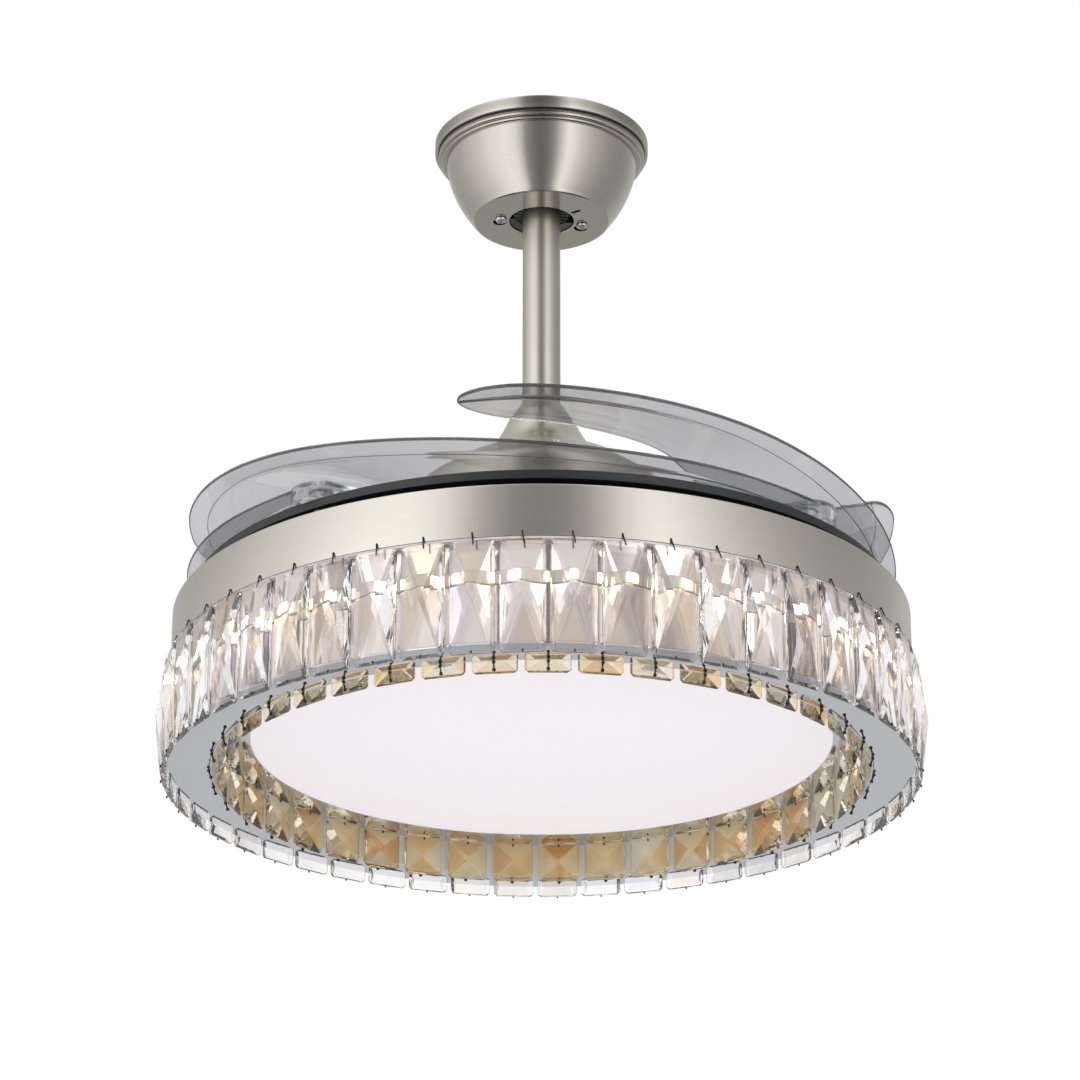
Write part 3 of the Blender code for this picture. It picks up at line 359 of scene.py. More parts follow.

# Crystals: the tints that their facets take, each from a share of the range; a facet takes one at random as
# a painted glint or painted shade, over the amber stones' own tone
cut_crystals = {
    "clear_crystal": (((0.00, (1.00, 1.00, 1.00)), (0.46, (1.00, 0.99, 1.00)), (0.62, (0.90, 0.88, 0.97)),
                       (0.78, (1.00, 0.92, 0.80)), (0.92, (0.60, 0.57, 0.57))),),
    "amber_crystal": (((0.00, (1.00, 0.98, 0.92)), (0.36, (1.00, 0.93, 0.74)), (0.62, (1.00, 0.83, 0.52)),
                       (0.82, (0.98, 0.68, 0.33)), (0.96, (0.76, 0.42, 0.16))),),
}
crystal_values = {"Transmission Weight": 1.0, "Alpha": 0.97, "IOR": 1.53}
crystal_haze = 0.012

# Lit pieces: colour, colour of the light, its strength, and roughness
lit_pieces = {
    "opal_acrylic": ((0.50, 0.48, 0.49), (1.00, 0.955, 0.985), 0.56, 0.45),
    "led_chip": ((0.9, 0.8, 0.5), (1.00, 0.80, 0.52), 12.0, 0.5),
    # The LED board is no lamp: its faint light is a painted glow
    "board_painted_glow": ((0.74, 0.69, 0.65), (1.00, 0.94, 0.88), 0.05, 0.5),
}
mottle_scale = 7.0
mottle_share = 0.985
glow_grain = 300.0


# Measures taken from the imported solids

def reach(node):
    return max(hypot(point.co.x, point.co.y) for point in frame["nodes"][node].data.vertices)


def top_of(node):
    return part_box(node)[1].z


def bottom_of(node):
    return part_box(node)[0].z


def extent(node):
    """Outer radius, top and bottom of a node."""
    return reach(node), top_of(node), bottom_of(node)


def turned(angle, axis="Z"):
    return Matrix.Rotation(angle, 4, axis)


# Node trees

def feed(tree, node, values):
    """Sets a node's inputs, each to a value or to the output of another node."""
    for key, value in values.items():
        if isinstance(value, bpy.types.NodeSocket):
            tree.links.new(value, node.inputs[key])
        else:
            node.inputs[key].default_value = value


def add_node(tree, kind, values, output, **options):
    """Adds a node and gives one of its outputs."""
    node = tree.nodes.new(f"ShaderNode{kind}")
    for key, value in options.items():
        setattr(node, key, value)
    feed(tree, node, values)
    return node.outputs[output]


def worked(tree, operation, *values):
    """Arithmetic on numbers and outputs."""
    return add_node(tree, "Math", dict(enumerate(values)), "Value", operation=operation)


def vector_worked(tree, operation, values, output="Vector"):
    return add_node(tree, "VectorMath", values, output, operation=operation)


def split_place(tree, space):
    """The X, Y and Z of a place on the object, or of a direction in the world."""
    place = add_node(tree, "TexCoord", {}, space)
    return add_node(tree, "SeparateXYZ", {"Vector": place}, "X").node.outputs


def spread(tree, output, low, high, limits=noise_range):
    """Maps a value between two limits to a range."""
    start, end = limits
    values = {"Value": output, "From Min": start, "From Max": end, "To Min": low, "To Max": high}
    return add_node(tree, "MapRange", values, "Result")


def mixed(tree, output, colour, other):
    """Mixes two colours, or outputs, by a value from 0 to 1."""
    values = {"Factor": output, "A": colour, "B": other}
    return add_node(tree, "Mix", values, "Result", data_type="RGBA")


def tinted(tree, output, colour, other):
    return mixed(tree, output, (*colour, 1), (*other, 1))


def shaded(colour, share):
    return tuple(part * share for part in colour)


def colour_ramp(tree, output, tints):
    """Colour by a value from 0 to 1, between those listed by their place."""
    colours = add_node(tree, "ValToRGB", {"Fac": output}, "Color")
    stops = colours.node.color_ramp.elements
    while len(stops) < len(tints):
        stops.new(0.5)
    for stop, (place, colour) in zip(stops, tints):
        stop.position = place
        stop.color = (*colour, 1)
    return colours


def object_noise(tree, scale, detail=noise_detail):
    place = add_node(tree, "TexCoord", {}, "Object")
    return add_node(tree, "TexNoise", {"Vector": place, "Scale": scale, "Detail": detail}, "Fac")


def turned_noise(tree, along, across, detail=2.0):
    """Noise drawn out round the fan's axis, as brushing and turning leave it."""
    parts = split_place(tree, "Object")
    flat = add_node(tree, "CombineXYZ", {"X": parts["X"], "Y": parts["Y"]}, "Vector")
    heading = vector_worked(tree, "SCALE", {0: vector_worked(tree, "NORMALIZE", {0: flat}), "Scale": along})
    height = worked(tree, "MULTIPLY", parts["Z"], across)
    lift = add_node(tree, "CombineXYZ", {"Z": height}, "Vector")
    place = vector_worked(tree, "ADD", {0: heading, 1: lift})
    depth = worked(tree, "MULTIPLY", vector_worked(tree, "LENGTH", {0: flat}, "Value"), across)
    return add_node(tree, "TexNoise", {"Vector": place, "W": depth, "Scale": 1.0, "Detail": detail},
                    "Fac", noise_dimensions="4D")


def raise_bumps(tree, shader, output, strength, distance):
    bumps = {"Height": output, "Strength": strength, "Distance": distance}
    feed(tree, shader, {"Normal": add_node(tree, "Bump", bumps, "Normal")})


# Finishes

def new_finish(name):
    finish = bpy.data.materials.new(name)
    finish.use_nodes = True
    return finish, finish.node_tree, finish.node_tree.nodes["Principled BSDF"]


def vary(tree, shader, kind, colour, colour_noise, roughness, roughness_noise):
    """Lets colour and roughness vary between the shares of their kind of finish."""
    (dark, light), (smooth, rough) = finish_shares[kind]
    colours = tinted(tree, colour_noise, shaded(colour, dark), shaded(colour, light))
    haze = spread(tree, roughness_noise, roughness * smooth, roughness * rough)
    feed(tree, shader, {"Base Color": colours, "Roughness": haze})


def brushed_metal(tree, shader, colour, share, roughness, anisotropy, strength):
    """Satin metal brushed round the fan's axis."""
    streaks = turned_noise(tree, *brush_scales, detail=brush_detail)
    tangent = add_node(tree, "Tangent", {}, "Tangent", direction_type="RADIAL", axis="Z")
    feed(tree, shader, {"Metallic": 1.0, "Anisotropic": anisotropy, "Anisotropic Rotation": quarter_turn,
                        "Tangent": tangent})
    smudges = object_noise(tree, smudge_scale)
    vary(tree, shader, "brushed", shaded(colour, share), streaks, roughness, smudges)
    raise_bumps(tree, shader, streaks, strength, fine_bump)


def polished_metal(tree, shader, colour, roughness):
    feed(tree, shader, {"Metallic": 1.0})
    marks = object_noise(tree, polish_mark_scale)
    vary(tree, shader, "polished", colour, marks, roughness, marks)
    raise_bumps(tree, shader, turned_noise(tree, *ripple_scales), ripple_strength, coarse_bump)


def plain_metal(tree, shader, colour, roughness, grain, strength):
    """Plated, cast or drawn metal with a fine grain."""
    feed(tree, shader, {"Metallic": 1.0})
    spangle = object_noise(tree, grain)
    vary(tree, shader, "plain", colour, object_noise(tree, stain_scale), roughness, spangle)
    raise_bumps(tree, shader, spangle, strength, coarse_bump)


def coated(tree, shader, colour, roughness, grain, strength, coat):
    """Paint, moulded plastic or board with a fine grain and slight wear."""
    feed(tree, shader, {"Coat Weight": coat, "Coat Roughness": coat_roughness})
    grains = object_noise(tree, grain, coating_detail)
    vary(tree, shader, "coated", colour, object_noise(tree, wear_scale), roughness, grains)
    raise_bumps(tree, shader, grains, strength, fine_bump)


def laminated_metal(tree, shader, colour, roughness):
    """Stacked sheets: fine level lines up the side."""
    feed(tree, shader, {"Metallic": 1.0})
    place = add_node(tree, "TexCoord", {}, "Object")
    sheets = add_node(tree, "TexWave", {"Vector": place, **sheet_waves}, "Fac", bands_direction="Z")
    vary(tree, shader, "laminated", colour, sheets, roughness, object_noise(tree, sheet_grain))
    raise_bumps(tree, shader, sheets, sheet_strength, fine_bump)


def wound_copper(tree, shader, colour):
    """Enamelled wire wound in radial turns."""
    feed(tree, shader, {"Metallic": 1.0, "Coat Weight": wire_coat})
    turns = turned_noise(tree, *wire_scales)
    vary(tree, shader, "wound", colour, turns, 1.0, turns)
    raise_bumps(tree, shader, turns, wire_strength, wire_bump)


def clear_glass(tree, shader, colour, share, tint_scale):
    """Clear acrylic, with faint haze and a slow change of tint."""
    level = spread(tree, object_noise(tree, tint_scale, 1.0), 0.0, 1.0)
    feed(tree, shader, {**acrylic_values, "Base Color": tinted(tree, level, colour, shaded(colour, share)),
                        "Roughness": spread(tree, object_noise(tree, haze_scale), 0.0, acrylic_haze)})


def cut_crystal(tree, shader, tints):
    """Crystal whose facets each take a tint at random, a painted glint or painted shade."""
    facet = add_node(tree, "Attribute", {}, "Fac", attribute_name="facet_painted_light")
    feed(tree, shader, {**crystal_values, "Base Color": colour_ramp(tree, facet, tints),
                        "Roughness": spread(tree, object_noise(tree, haze_scale), 0.0, crystal_haze)})


def glowing(tree, shader, colour, light, strength, roughness):
    """Opal panel or LED chip with light behind it, or the LED board with a faint painted glow."""
    mottle = object_noise(tree, mottle_scale)
    feed(tree, shader, {"Emission Strength": strength,
                        "Emission Color": tinted(tree, mottle, shaded(light, mottle_share), light)})
    vary(tree, shader, "glowing", colour, mottle, roughness, object_noise(tree, glow_grain))


def make_finishes():
    """Every finish by its name, from the tables of each kind."""
    kinds = ((brushed_metal, brushed_metals), (polished_metal, polished_metals), (plain_metal, plain_metals),
             (coated, coatings), (laminated_metal, laminated_metals), (wound_copper, wound_wires),
             (clear_glass, clear_acrylics), (cut_crystal, cut_crystals), (glowing, lit_pieces))
    made = {}
    for fill, table in kinds:
        for name, values in table.items():
            made[name], tree, shader = new_finish(name)
            fill(tree, shader, *values)
    return made


# Meshes

def mesh_from(bm, name):
    bmesh.ops.remove_doubles(bm, verts=bm.verts, dist=weld_distance)
    bmesh.ops.recalc_face_normals(bm, faces=bm.faces)
    mesh = bpy.data.meshes.new(name)
    bm.to_mesh(mesh)
    bm.free()
    mesh.shade_smooth()
    mesh.set_sharp_from_angle(angle=sharp_angle)
    return mesh


def rounded(outline, closed=True):
    """Outline of (radius, height) or (radius, height, fillet) corners as points with the fillets drawn."""
    points = []
    last = len(outline) - 1
    for index, (radius, height, *fillet) in enumerate(outline):
        corner = Vector((radius, height))
        if not fillet or not fillet[0] or (not closed and index in (0, last)):
            points.append(corner)
            continue
        before = Vector(outline[index - 1][:2]) - corner
        after = Vector(outline[(index + 1) % (last + 1)][:2]) - corner
        start = corner + before.normalized() * min(fillet[0], before.length / 2)
        end = corner + after.normalized() * min(fillet[0], after.length / 2)
        for step in range(fillet_steps + 1):
            part = step / fillet_steps
            points.append(start * (1 - part) ** 2 + corner * 2 * part * (1 - part) + end * part ** 2)
    return [(point.x, point.y) for point in points]


def shell(outline, wall):
    """Closed outline of a sheet: an open outline and its copy moved by the wall to its right."""
    points = [Vector(point) for point in outline]
    inner = []
    for index, point in enumerate(points):
        before = points[max(index - 1, 0)]
        after = points[min(index + 1, len(points) - 1)]
        run = (after - before).normalized()
        inner.append(point + Vector((run.y, -run.x)) * wall)
    return [tuple(point) for point in points + inner[::-1]]


def round_pairs(items):
    """Each item with the one after it, back to the first."""
    return list(zip(items, items[1:] + items[:1]))


def lathe(name, points, steps=fine_steps):
    """Mesh made by turning a closed outline round the Z axis."""
    bm = bmesh.new()
    rings = []
    for step in range(steps):
        turn = tau * step / steps
        rings.append([bm.verts.new((radius * cos(turn), radius * sin(turn), height))
                      for radius, height in points])
    for ring, following in round_pairs(rings):
        for (here, above), (beside, across) in zip(round_pairs(ring), round_pairs(following)):
            bm.faces.new((here, beside, across, above))
    return mesh_from(bm, name)


def ring_corners(outer, inner, high, low):
    corners = ((outer, high), (outer, low), (inner, low), (inner, high))
    return [(*corner, edge_round) for corner in corners]


def box_tool(size, centre, matrix):
    bm = bmesh.new()
    bmesh.ops.create_cube(bm, size=1.0)
    bmesh.ops.scale(bm, verts=bm.verts, vec=size)
    bmesh.ops.translate(bm, verts=bm.verts, vec=centre)
    bmesh.ops.transform(bm, matrix=matrix, verts=bm.verts)
    return mesh_from(bm, "tool")


def rod_tool(radius, high, low, steps=small_steps):
    return lathe("tool", [(0, high), (radius, high), (radius, low), (0, low)], steps)


def new_object(name, data, finish=None):
    item = bpy.data.objects.new(name, data)
    collection.objects.link(item)
    if finish is not None:
        data.materials.clear()
        data.materials.append(finishes[finish])
    return item


def settled(item):
    """Applies every modifier of an object to its mesh."""
    bpy.context.view_layer.update()
    graph = bpy.context.evaluated_depsgraph_get()
    mesh = bpy.data.meshes.new_from_object(item.evaluated_get(graph), depsgraph=graph)
    item.modifiers.clear()
    item.data = mesh
    return item


def cut(item, meshes):
    """Cuts tools out of an object and applies the result."""
    tools = [new_object("tool", mesh) for mesh in meshes]
    for tool in tools:
        step = item.modifiers.new("cut", "BOOLEAN")
        step.operation = "DIFFERENCE"
        step.object = tool
        step.solver = "EXACT"
    settled(item)
    for tool in tools:
        bpy.data.objects.remove(tool, do_unlink=True)
    item.data.shade_smooth()
    item.data.set_sharp_from_angle(angle=sharp_angle)
    return item


def dress(item, node, *others, slot_name=None):
    """An object stands in for a CAD node and rides on its body."""
    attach(item, node_bodies[node])
    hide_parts(node, *others)


def add_detail(item, node):
    """An object that adds detail rides with a CAD node and replaces nothing."""
    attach(item, node_bodies[node])


def turned_detail(name, node, points, finish, steps=fine_steps):
    add_detail(new_object(name, lathe(name, points, steps), finish), node)


def round_edges(item, width, segments=2):
    edges = item.modifiers.new("edges", "BEVEL")
    edges.width = width
    edges.segments = segments
    edges.limit_method = "ANGLE"
    edges.angle_limit = sharp_angle
    edges.harden_normals = False


def turned_piece(name, node, outline, finish=None, steps=fine_steps):
    dress(new_object(name, lathe(name, rounded(outline), steps), finish or node_slots[node]), node)


# Canopy, ball and rod

def canopy_outline():
    radius, rim_z, floor_z = extent("canopy")
    groove_radius = radius - canopy_groove_depth
    groove_z = rim_z - canopy_groove_height
    outline = [(radius - canopy_lip_round, rim_z), (radius, rim_z, canopy_lip_round),
               (radius, groove_z, canopy_lip_round), (groove_radius, groove_z, edge_round),
               (groove_radius, groove_z - canopy_groove_width, edge_round)]
    for inset, drop, bead in canopy_beads:
        outline += [(radius - inset + bead * cos(turn), rim_z - drop + bead * sin(turn))
                    for turn in canopy_bead_turns]
    outline += bowl_points()
    outline += [(canopy_foot_radius, floor_z, canopy_foot_round),
                (canopy_hole_radius, floor_z, canopy_lip_round),
                (canopy_hole_radius, floor_z + 2 * canopy_lip_round)]
    return rounded(outline, closed=False)


def bowl_points():
    """The bowl's side: part of an ellipse that leans in towards the floor."""
    start, end = canopy_bowl_turns
    bowl_top = top_of("canopy") - canopy_rim_height
    drop = bowl_top - bottom_of("canopy") - canopy_foot_height
    points = []
    for step in range(bowl_steps + 1):
        turn = start + (end - start) * step / bowl_steps
        lean = canopy_bowl_reach * (cos(start) - cos(turn)) / (cos(start) - cos(end))
        points.append((canopy_neck_radius - lean,
                       bowl_top - drop * (sin(turn) - sin(start)) / (sin(end) - sin(start))))
    return points


def make_canopy():
    """Spun bowl with a grooved rim, two beads, keyholes, screw holes and a slot in its floor."""
    floor_z = bottom_of("canopy")
    outline = shell(canopy_outline(), canopy_wall)
    canopy = new_object("canopy_bowl", lathe("canopy_bowl", outline), "canopy_nickel")
    high = floor_z + 3 * canopy_wall
    low = floor_z - canopy_wall
    turn = turned(bracket_turn)
    tools = []
    for side in (-1, 1):
        for radius, offset in ((canopy_screw_hole, 0), (keyhole_radius, keyhole_offset)):
            tool = rod_tool(radius, high, low)
            tool.transform(turn @ Matrix.Translation((side * canopy_screw_circle, offset, 0)))
            tools.append(tool)
    tools.append(box_tool((*mark_size, high - low), (canopy_screw_circle, 0, (high + low) / 2),
                          turn @ turned(mark_turn)))
    dress(cut(canopy, tools), "canopy")
    for face in canopy.data.polygons:
        if abs(face.normal.z) > level_share:
            face.use_smooth = False


def make_canopy_shade_sheet():
    """Black sheet inside the bowl: painted shade, dark behind its holes."""
    floor_top = bottom_of("canopy") + canopy_wall + shade_sheet_gap
    side = [(radius - canopy_wall - shade_sheet_gap, height)
            for radius, height in bowl_points() if height > floor_top]
    outline = shell(side + [(side[-1][0], floor_top), (shade_sheet_hole_radius, floor_top)], shade_sheet_wall)
    turned_detail("canopy_shade_sheet", "canopy", outline, "black_steel", medium_steps)


def make_canopy_groove_shade():
    """Black ring in the groove under the rim's lip: painted shade where the lip shades the groove."""
    high = top_of("canopy") - canopy_groove_height
    groove_radius = reach("canopy") - canopy_groove_depth
    outline = ring_corners(groove_radius + groove_shade_reach, groove_radius - canopy_wall / 2, high,
                           high - canopy_groove_width)
    turned_detail("canopy_groove_shade", "canopy", rounded(outline), "black_steel")


def make_canopy_screw(side):
    """Pan head screw with a crosshead recess."""
    node, name = f"canopy_screw_{side}", f"pan_screw_{side}"
    low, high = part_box(node)
    centre = (low + high) / 2
    radius = (high.x - low.x) / 2
    shank = canopy_screw_hole - fit_gap
    shoulder = bottom_of("canopy") - fit_gap
    outline = rounded([(0, low.z), (radius * screw_crown_share, low.z, screw_crown_round),
                       (radius * screw_side_share, low.z + screw_side_height, screw_side_round),
                       (radius, shoulder, screw_edge_round), (shank, shoulder), (shank, high.z),
                       (0, high.z)])
    screw = new_object(name, lathe(name, outline, small_steps), node_slots[node])
    recess_size = (recess_length, recess_width, 2 * recess_sink)
    cut(screw, [box_tool(recess_size, (0, 0, low.z), turned(turn)) for turn in recess_turns])
    screw.data.transform(Matrix.Translation((centre.x, centre.y, 0)))
    dress(screw, node)


def make_ball():
    """Moulded ball with a bore for the rod and a key slot at its back."""
    low, high = bottom_of("hanger_ball"), top_of("hanger_ball")
    bore = reach("downrod") + fit_gap
    middle = low + sqrt(ball_radius ** 2 - (bore + ball_land) ** 2)
    start = asin((high - middle) / ball_radius)
    end = asin((low - middle) / ball_radius)
    outline = [(bore, high)]
    for step in range(ball_steps + 1):
        turn = start + (end - start) * step / ball_steps
        outline.append((ball_radius * cos(turn), middle + ball_radius * sin(turn)))
    outline.append((bore, low))
    ball = new_object("swivel_ball", lathe("swivel_ball", outline, medium_steps), "black_plastic")
    slot = box_tool((key_width, ball_radius, ball_radius),
                    (0, ball_radius / 2 + bore * key_depth_share, low), turned(bracket_turn))
    dress(cut(ball, [slot]), "hanger_ball")


def make_rod():
    radius, high, low = extent("downrod")
    outline = ring_corners(radius, radius - rod_wall, high, low)
    turned_piece("brushed_downrod", "downrod", outline, "rod_nickel", medium_steps)


def make_collar():
    """Black ribbed collar round the rod, just under the ball."""
    high = bottom_of("hanger_ball") - collar_gap
    inner = reach("downrod") + fit_gap
    outline = ring_corners(collar_radius, inner, high, high - collar_height)
    collar = new_object("rod_collar", lathe("rod_collar", rounded(outline), medium_steps), "black_plastic")
    length = collar_radius - inner - collar_height / 2
    gap_size = (length, rib_width, collar_height)
    gap_centre = (inner + length / 2, 0, high - collar_height)
    gaps = [box_tool(gap_size, gap_centre, turned(tau * (step + 0.5) / rib_count))
            for step in range(rib_count)]
    add_detail(cut(collar, gaps), "hanger_ball")


def make_cover():
    """Bell cover with a flared foot."""
    high, low = top_of("coupling_cover"), bottom_of("coupling_cover")
    outline = [(radius, high + (low - high) * share, fillet) for radius, share, fillet in cover_rows]
    points = shell(rounded(outline, closed=False), cover_wall)
    dress(new_object("bell_cover", lathe("bell_cover", points), "satin_nickel"), "coupling_cover")


# Motor and disc

def make_motor():
    """Two cast shells with a ring of vents, a parting groove and a foot flange."""
    high, split = top_of("motor_top_shell"), bottom_of("motor_top_shell")
    inner = motor_radius - motor_wall
    groove = motor_radius - motor_groove_depth
    shoulder = high - motor_shoulder_drop
    side = high - motor_side_drop
    upper = [(motor_hub_radius, high, edge_round), (motor_crown_radius, high, motor_crown_round),
             (motor_shoulder_radius, shoulder, motor_side_round), (motor_radius, side, motor_side_round),
             (motor_radius, split + motor_groove_end, edge_round),
             (groove, split + motor_groove_start, edge_round), (groove, split), (inner, split),
             (inner, side - motor_wall),
             (motor_shoulder_radius - motor_wall, shoulder - motor_wall, motor_side_round),
             (motor_crown_radius - motor_wall, high - motor_wall, motor_crown_round),
             (motor_hub_radius, high - motor_wall)]
    crown = new_object("motor_crown", lathe("motor_crown", rounded(upper), medium_steps), "nickel_aluminium")
    tools = []
    for step in range(vent_count):
        turn = vent_turn - pi / 2 + tau * step / vent_count
        tool = rod_tool(vent_radius, high + motor_wall, high - motor_side_drop)
        tool.transform(Matrix.Translation((vent_circle * cos(turn), vent_circle * sin(turn), 0)))
        tools.append(tool)
    dress(cut(crown, tools), "motor_top_shell")
    foot, joint, low = extent("motor_bottom_shell")
    flange = low + motor_flange_thickness
    lower = [(groove, joint), (groove, joint - motor_wall),
             (motor_radius, joint - motor_wall - motor_groove_depth, edge_round),
             (motor_radius, flange, motor_wall), (foot, flange, soft_round), (foot, low, soft_round),
             (motor_hub_radius, low, edge_round), (motor_hub_radius, low + motor_wall),
             (inner, low + motor_wall, motor_wall), (inner, joint)]
    turned_piece("motor_foot", "motor_bottom_shell", lower, steps=medium_steps)


def make_motor_shade_sheet():
    """Black sheet under the motor's crown: painted shade, dark behind the vents."""
    high = top_of("motor_top_shell")
    outline = shell([(motor_crown_radius - motor_wall, high - 2 * motor_wall),
                     (motor_shoulder_radius - 2 * motor_wall, high - motor_shoulder_drop - motor_wall)],
                    shade_sheet_wall)
    turned_detail("motor_shade_sheet", "motor_top_shell", outline, "black_steel", medium_steps)


def make_disc():
    """Black disc with its rim turned down."""
    radius, high, low = extent("blade_disc")
    plate = high - disc_plate
    rim = radius - disc_rim_wall
    outline = [(radius, high, disc_rim_round), (radius, low, disc_rim_round / 2),
               (rim, low, disc_rim_round / 2), (rim, plate, soft_round),
               (disc_bore_radius, plate, edge_round), (disc_bore_radius, high, edge_round)]
    turned_piece("black_disc", "blade_disc", outline)


# Blades

def along(shares, place):
    """Smooth value between the blade's listed places, by a cubic through the neighbours."""
    last = len(blade_place_shares) - 1
    index = max(step for step in range(last) if blade_place_shares[step] <= place)
    left, right = blade_place_shares[index], blade_place_shares[index + 1]
    span = right - left

    def slope_at(step):
        before, after = max(step - 1, 0), min(step + 1, last)
        return (shares[after] - shares[before]) / (blade_place_shares[after] - blade_place_shares[before])

    part = (place - left) / span
    ease = part * part * (3 - 2 * part)
    rise = slope_at(index) * part * (1 - part) ** 2 - slope_at(index + 1) * part * part * (1 - part)
    return shares[index] + (shares[index + 1] - shares[index]) * ease + rise * span


def blade_row(place):
    """Points across the blade at one place along it, from its outer to its inner edge."""
    turn = blade_span * place
    width = blade_width * along(blade_width_shares, place)
    rise = blade_rise * along(blade_rise_shares, place)
    slope = along(blade_slope_shares, place)
    fold = blade_crease_fold_share * min(1.0, place / blade_tip_share)
    end = max(0.0, (place - 1 + blade_tip_share) / blade_tip_share)
    closing = max(sqrt(max(1 - end * end, 0)), blade_tip_share)
    inner_width = width - blade_crease_width
    insets = [blade_crease_width * step / blade_crease_steps for step in range(blade_crease_steps + 1)]
    insets += [blade_crease_width + inner_width * step / blade_inner_steps
               for step in range(1, blade_inner_steps + 1)]
    points = []
    for inset in insets:
        shrunk = blade_crease_width + (inset - blade_crease_width) * closing
        radius = blade_edge_radius - shrunk
        height = rise + slope * shrunk - fold * min(shrunk, blade_crease_width)
        points.append((radius * cos(turn) - blade_pivot_circle, -radius * sin(turn), height))
    return points


def blade_rows():
    """Rows of points from the blade's pivot to its tip."""
    body_span = 1 - blade_tip_share
    places = [body_span * step / blade_body_steps for step in range(blade_body_steps + 1)]
    places += [body_span + blade_tip_share * sin(pi / 2 * step / blade_tip_steps)
               for step in range(1, blade_tip_steps + 1)]
    return [blade_row(place) for place in places]


def blade_sheet(points):
    """Open sheet through rows of points."""
    bm = bmesh.new()
    rows = [[bm.verts.new(point) for point in row] for row in points]
    for first, second in zip(rows, rows[1:]):
        for column in range(len(first) - 1):
            bm.faces.new((first[column], first[column + 1], second[column + 1], second[column]))
    return mesh_from(bm, "blade_sheet")


def make_blade_body(rows):
    """Closed sheet of one blade in the frame of its pivot, cut out where its hub goes."""
    blade = new_object("blade_body", blade_sheet(rows))
    thick = blade.modifiers.new("wall", "SOLIDIFY")
    thick.thickness = blade_thickness
    thick.offset = 0
    settled(blade)
    cut(blade, [rod_tool(hub_radius - fit_gap, 2 * hub_height, -hub_height, medium_steps)])
    return blade.data


def hub_outline():
    """Hollow hub: a plate with a wall round it and a boss on the post."""
    plate = hub_height - blade_thickness
    wall = hub_radius - blade_thickness
    bore = post_radius + fit_gap
    boss = bore + blade_thickness
    return rounded([(hub_radius, hub_height, hub_round), (hub_radius, fit_gap, edge_round),
                    (wall, fit_gap, edge_round), (wall, plate, soft_round), (boss, plate, soft_round),
                    (boss, fit_gap, edge_round), (bore, fit_gap), (bore, hub_height)])


def blade_lines(rows):
    """The run of the blade's edge from the hub round the tip and back, and the run of its crease."""
    def clear_of_hub(points):
        return [Vector(point) for point in points if hypot(point[0], point[1]) > hub_radius]

    edge = clear_of_hub([row[0] for row in rows]) + clear_of_hub(rows[-1][1:-1])
    edge += clear_of_hub([row[-1] for row in rows])[::-1]
    return edge, clear_of_hub([row[blade_crease_steps] for row in rows])


def make_blades():
    """Four clear blades with hollow hubs on their posts; dark lines along their edges and creases are
    painted shade.
    """
    rows = blade_rows()
    body = make_blade_body(rows)
    bpy.data.objects.remove(bpy.data.objects["blade_body"], do_unlink=True)
    edge, crease = blade_lines(rows)
    hub = hub_outline()
    disc_top = top_of("blade_disc")
    foot = bottom_of("blade_disc") - disc_top
    head_low = hub_height + fit_gap
    head_high = head_low + post_head_height
    post = rounded([(0, head_high), (post_head_radius, head_high, soft_round),
                    (post_head_radius, head_low, edge_round), (post_radius, head_low),
                    (post_radius, foot), (0, foot)])
    for number in range(1, blade_count + 1):
        node = f"blade_{number}"
        turn = blade_first_turn + tau * (number - 1) / blade_count
        centre = (blade_pivot_circle * cos(turn), blade_pivot_circle * sin(turn), disc_top)
        place = Matrix.Translation(centre) @ turned(turn)
        mesh = body.copy()
        mesh.transform(place)
        blade = new_object(f"clear_blade_{number}", mesh, "clear_acrylic")
        round_edges(blade, blade_edge_round)
        dress(blade, node)
        pin = new_object(f"blade_post_{number}", lathe("blade_post", post, small_steps), "zinc_steel")
        pin.data.transform(place)
        dress(pin, f"pivot_post_{number}")
        ring = new_object(f"blade_hub_{number}", lathe("blade_hub", hub, medium_steps), "hub_acrylic")
        ring.data.transform(place)
        add_detail(ring, node)
        for name, route, radius in (("edge", edge, blade_line_radius),
                                    ("crease", crease, blade_crease_radius)):
            placed = [[place @ point for point in route]]
            wires(f"blade_{name}_{number}", placed, radius, node, "painted_edge_shade")


# Drum lamp

def make_band():
    """Satin band with a rolled top edge and a hem at its foot."""
    radius, high, low = extent("nickel_band")
    inner = radius - band_wall
    flange = radius - band_flange_width
    outline = [(flange, high, edge_round), (radius, high, band_edge_round), (radius, low, edge_round),
               (radius - band_hem, low, edge_round), (radius - band_hem, low + band_hem, edge_round),
               (inner, low + band_hem + edge_round, edge_round), (inner, high - band_wall, band_edge_round),
               (flange, high - band_wall, edge_round)]
    turned_piece("satin_band", "nickel_band", outline)


def make_drum_rings():
    """Drum wall, mirror ring, recess wall and the trim round the light panel."""
    rings = (("drum_shell", "drum_wall", reach("drum_wall") - drum_wall_thickness, "drum_steel"),
             ("mirror_ring", "bottom_ring", ring_inner_radius, None),
             ("recess_shell", "recess_wall", reach("recess_wall") - band_wall, "white_steel"),
             ("mirror_trim", "recess_trim", reach("diffuser") - diffuser_lip + fit_gap, None))
    for name, node, inner, finish in rings:
        outer, high, low = extent(node)
        turned_piece(name, node, ring_corners(outer, inner, high, low), finish)


def make_crystal_hoop():
    """Pale hoop under the band, above the outer crystals."""
    high = bottom_of("nickel_band") - hoop_gap
    outline = ring_corners(reach("nickel_band") - hoop_gap, reach("drum_wall") + fit_gap, high,
                           high - hoop_height)
    turned_detail("crystal_hoop", "outer_crystals", rounded(outline), "white_steel")


def make_diffuser():
    """Opal panel with a soft edge, standing on the trim by its lip."""
    lip, high, low = extent("diffuser")
    radius = lip - diffuser_lip
    step = high - diffuser_lip_height
    outline = [(0, high), (lip, high, edge_round), (lip, step, edge_round), (radius, step),
               (radius, low, diffuser_round), (0, low)]
    turned_piece("light_panel", "diffuser", outline)


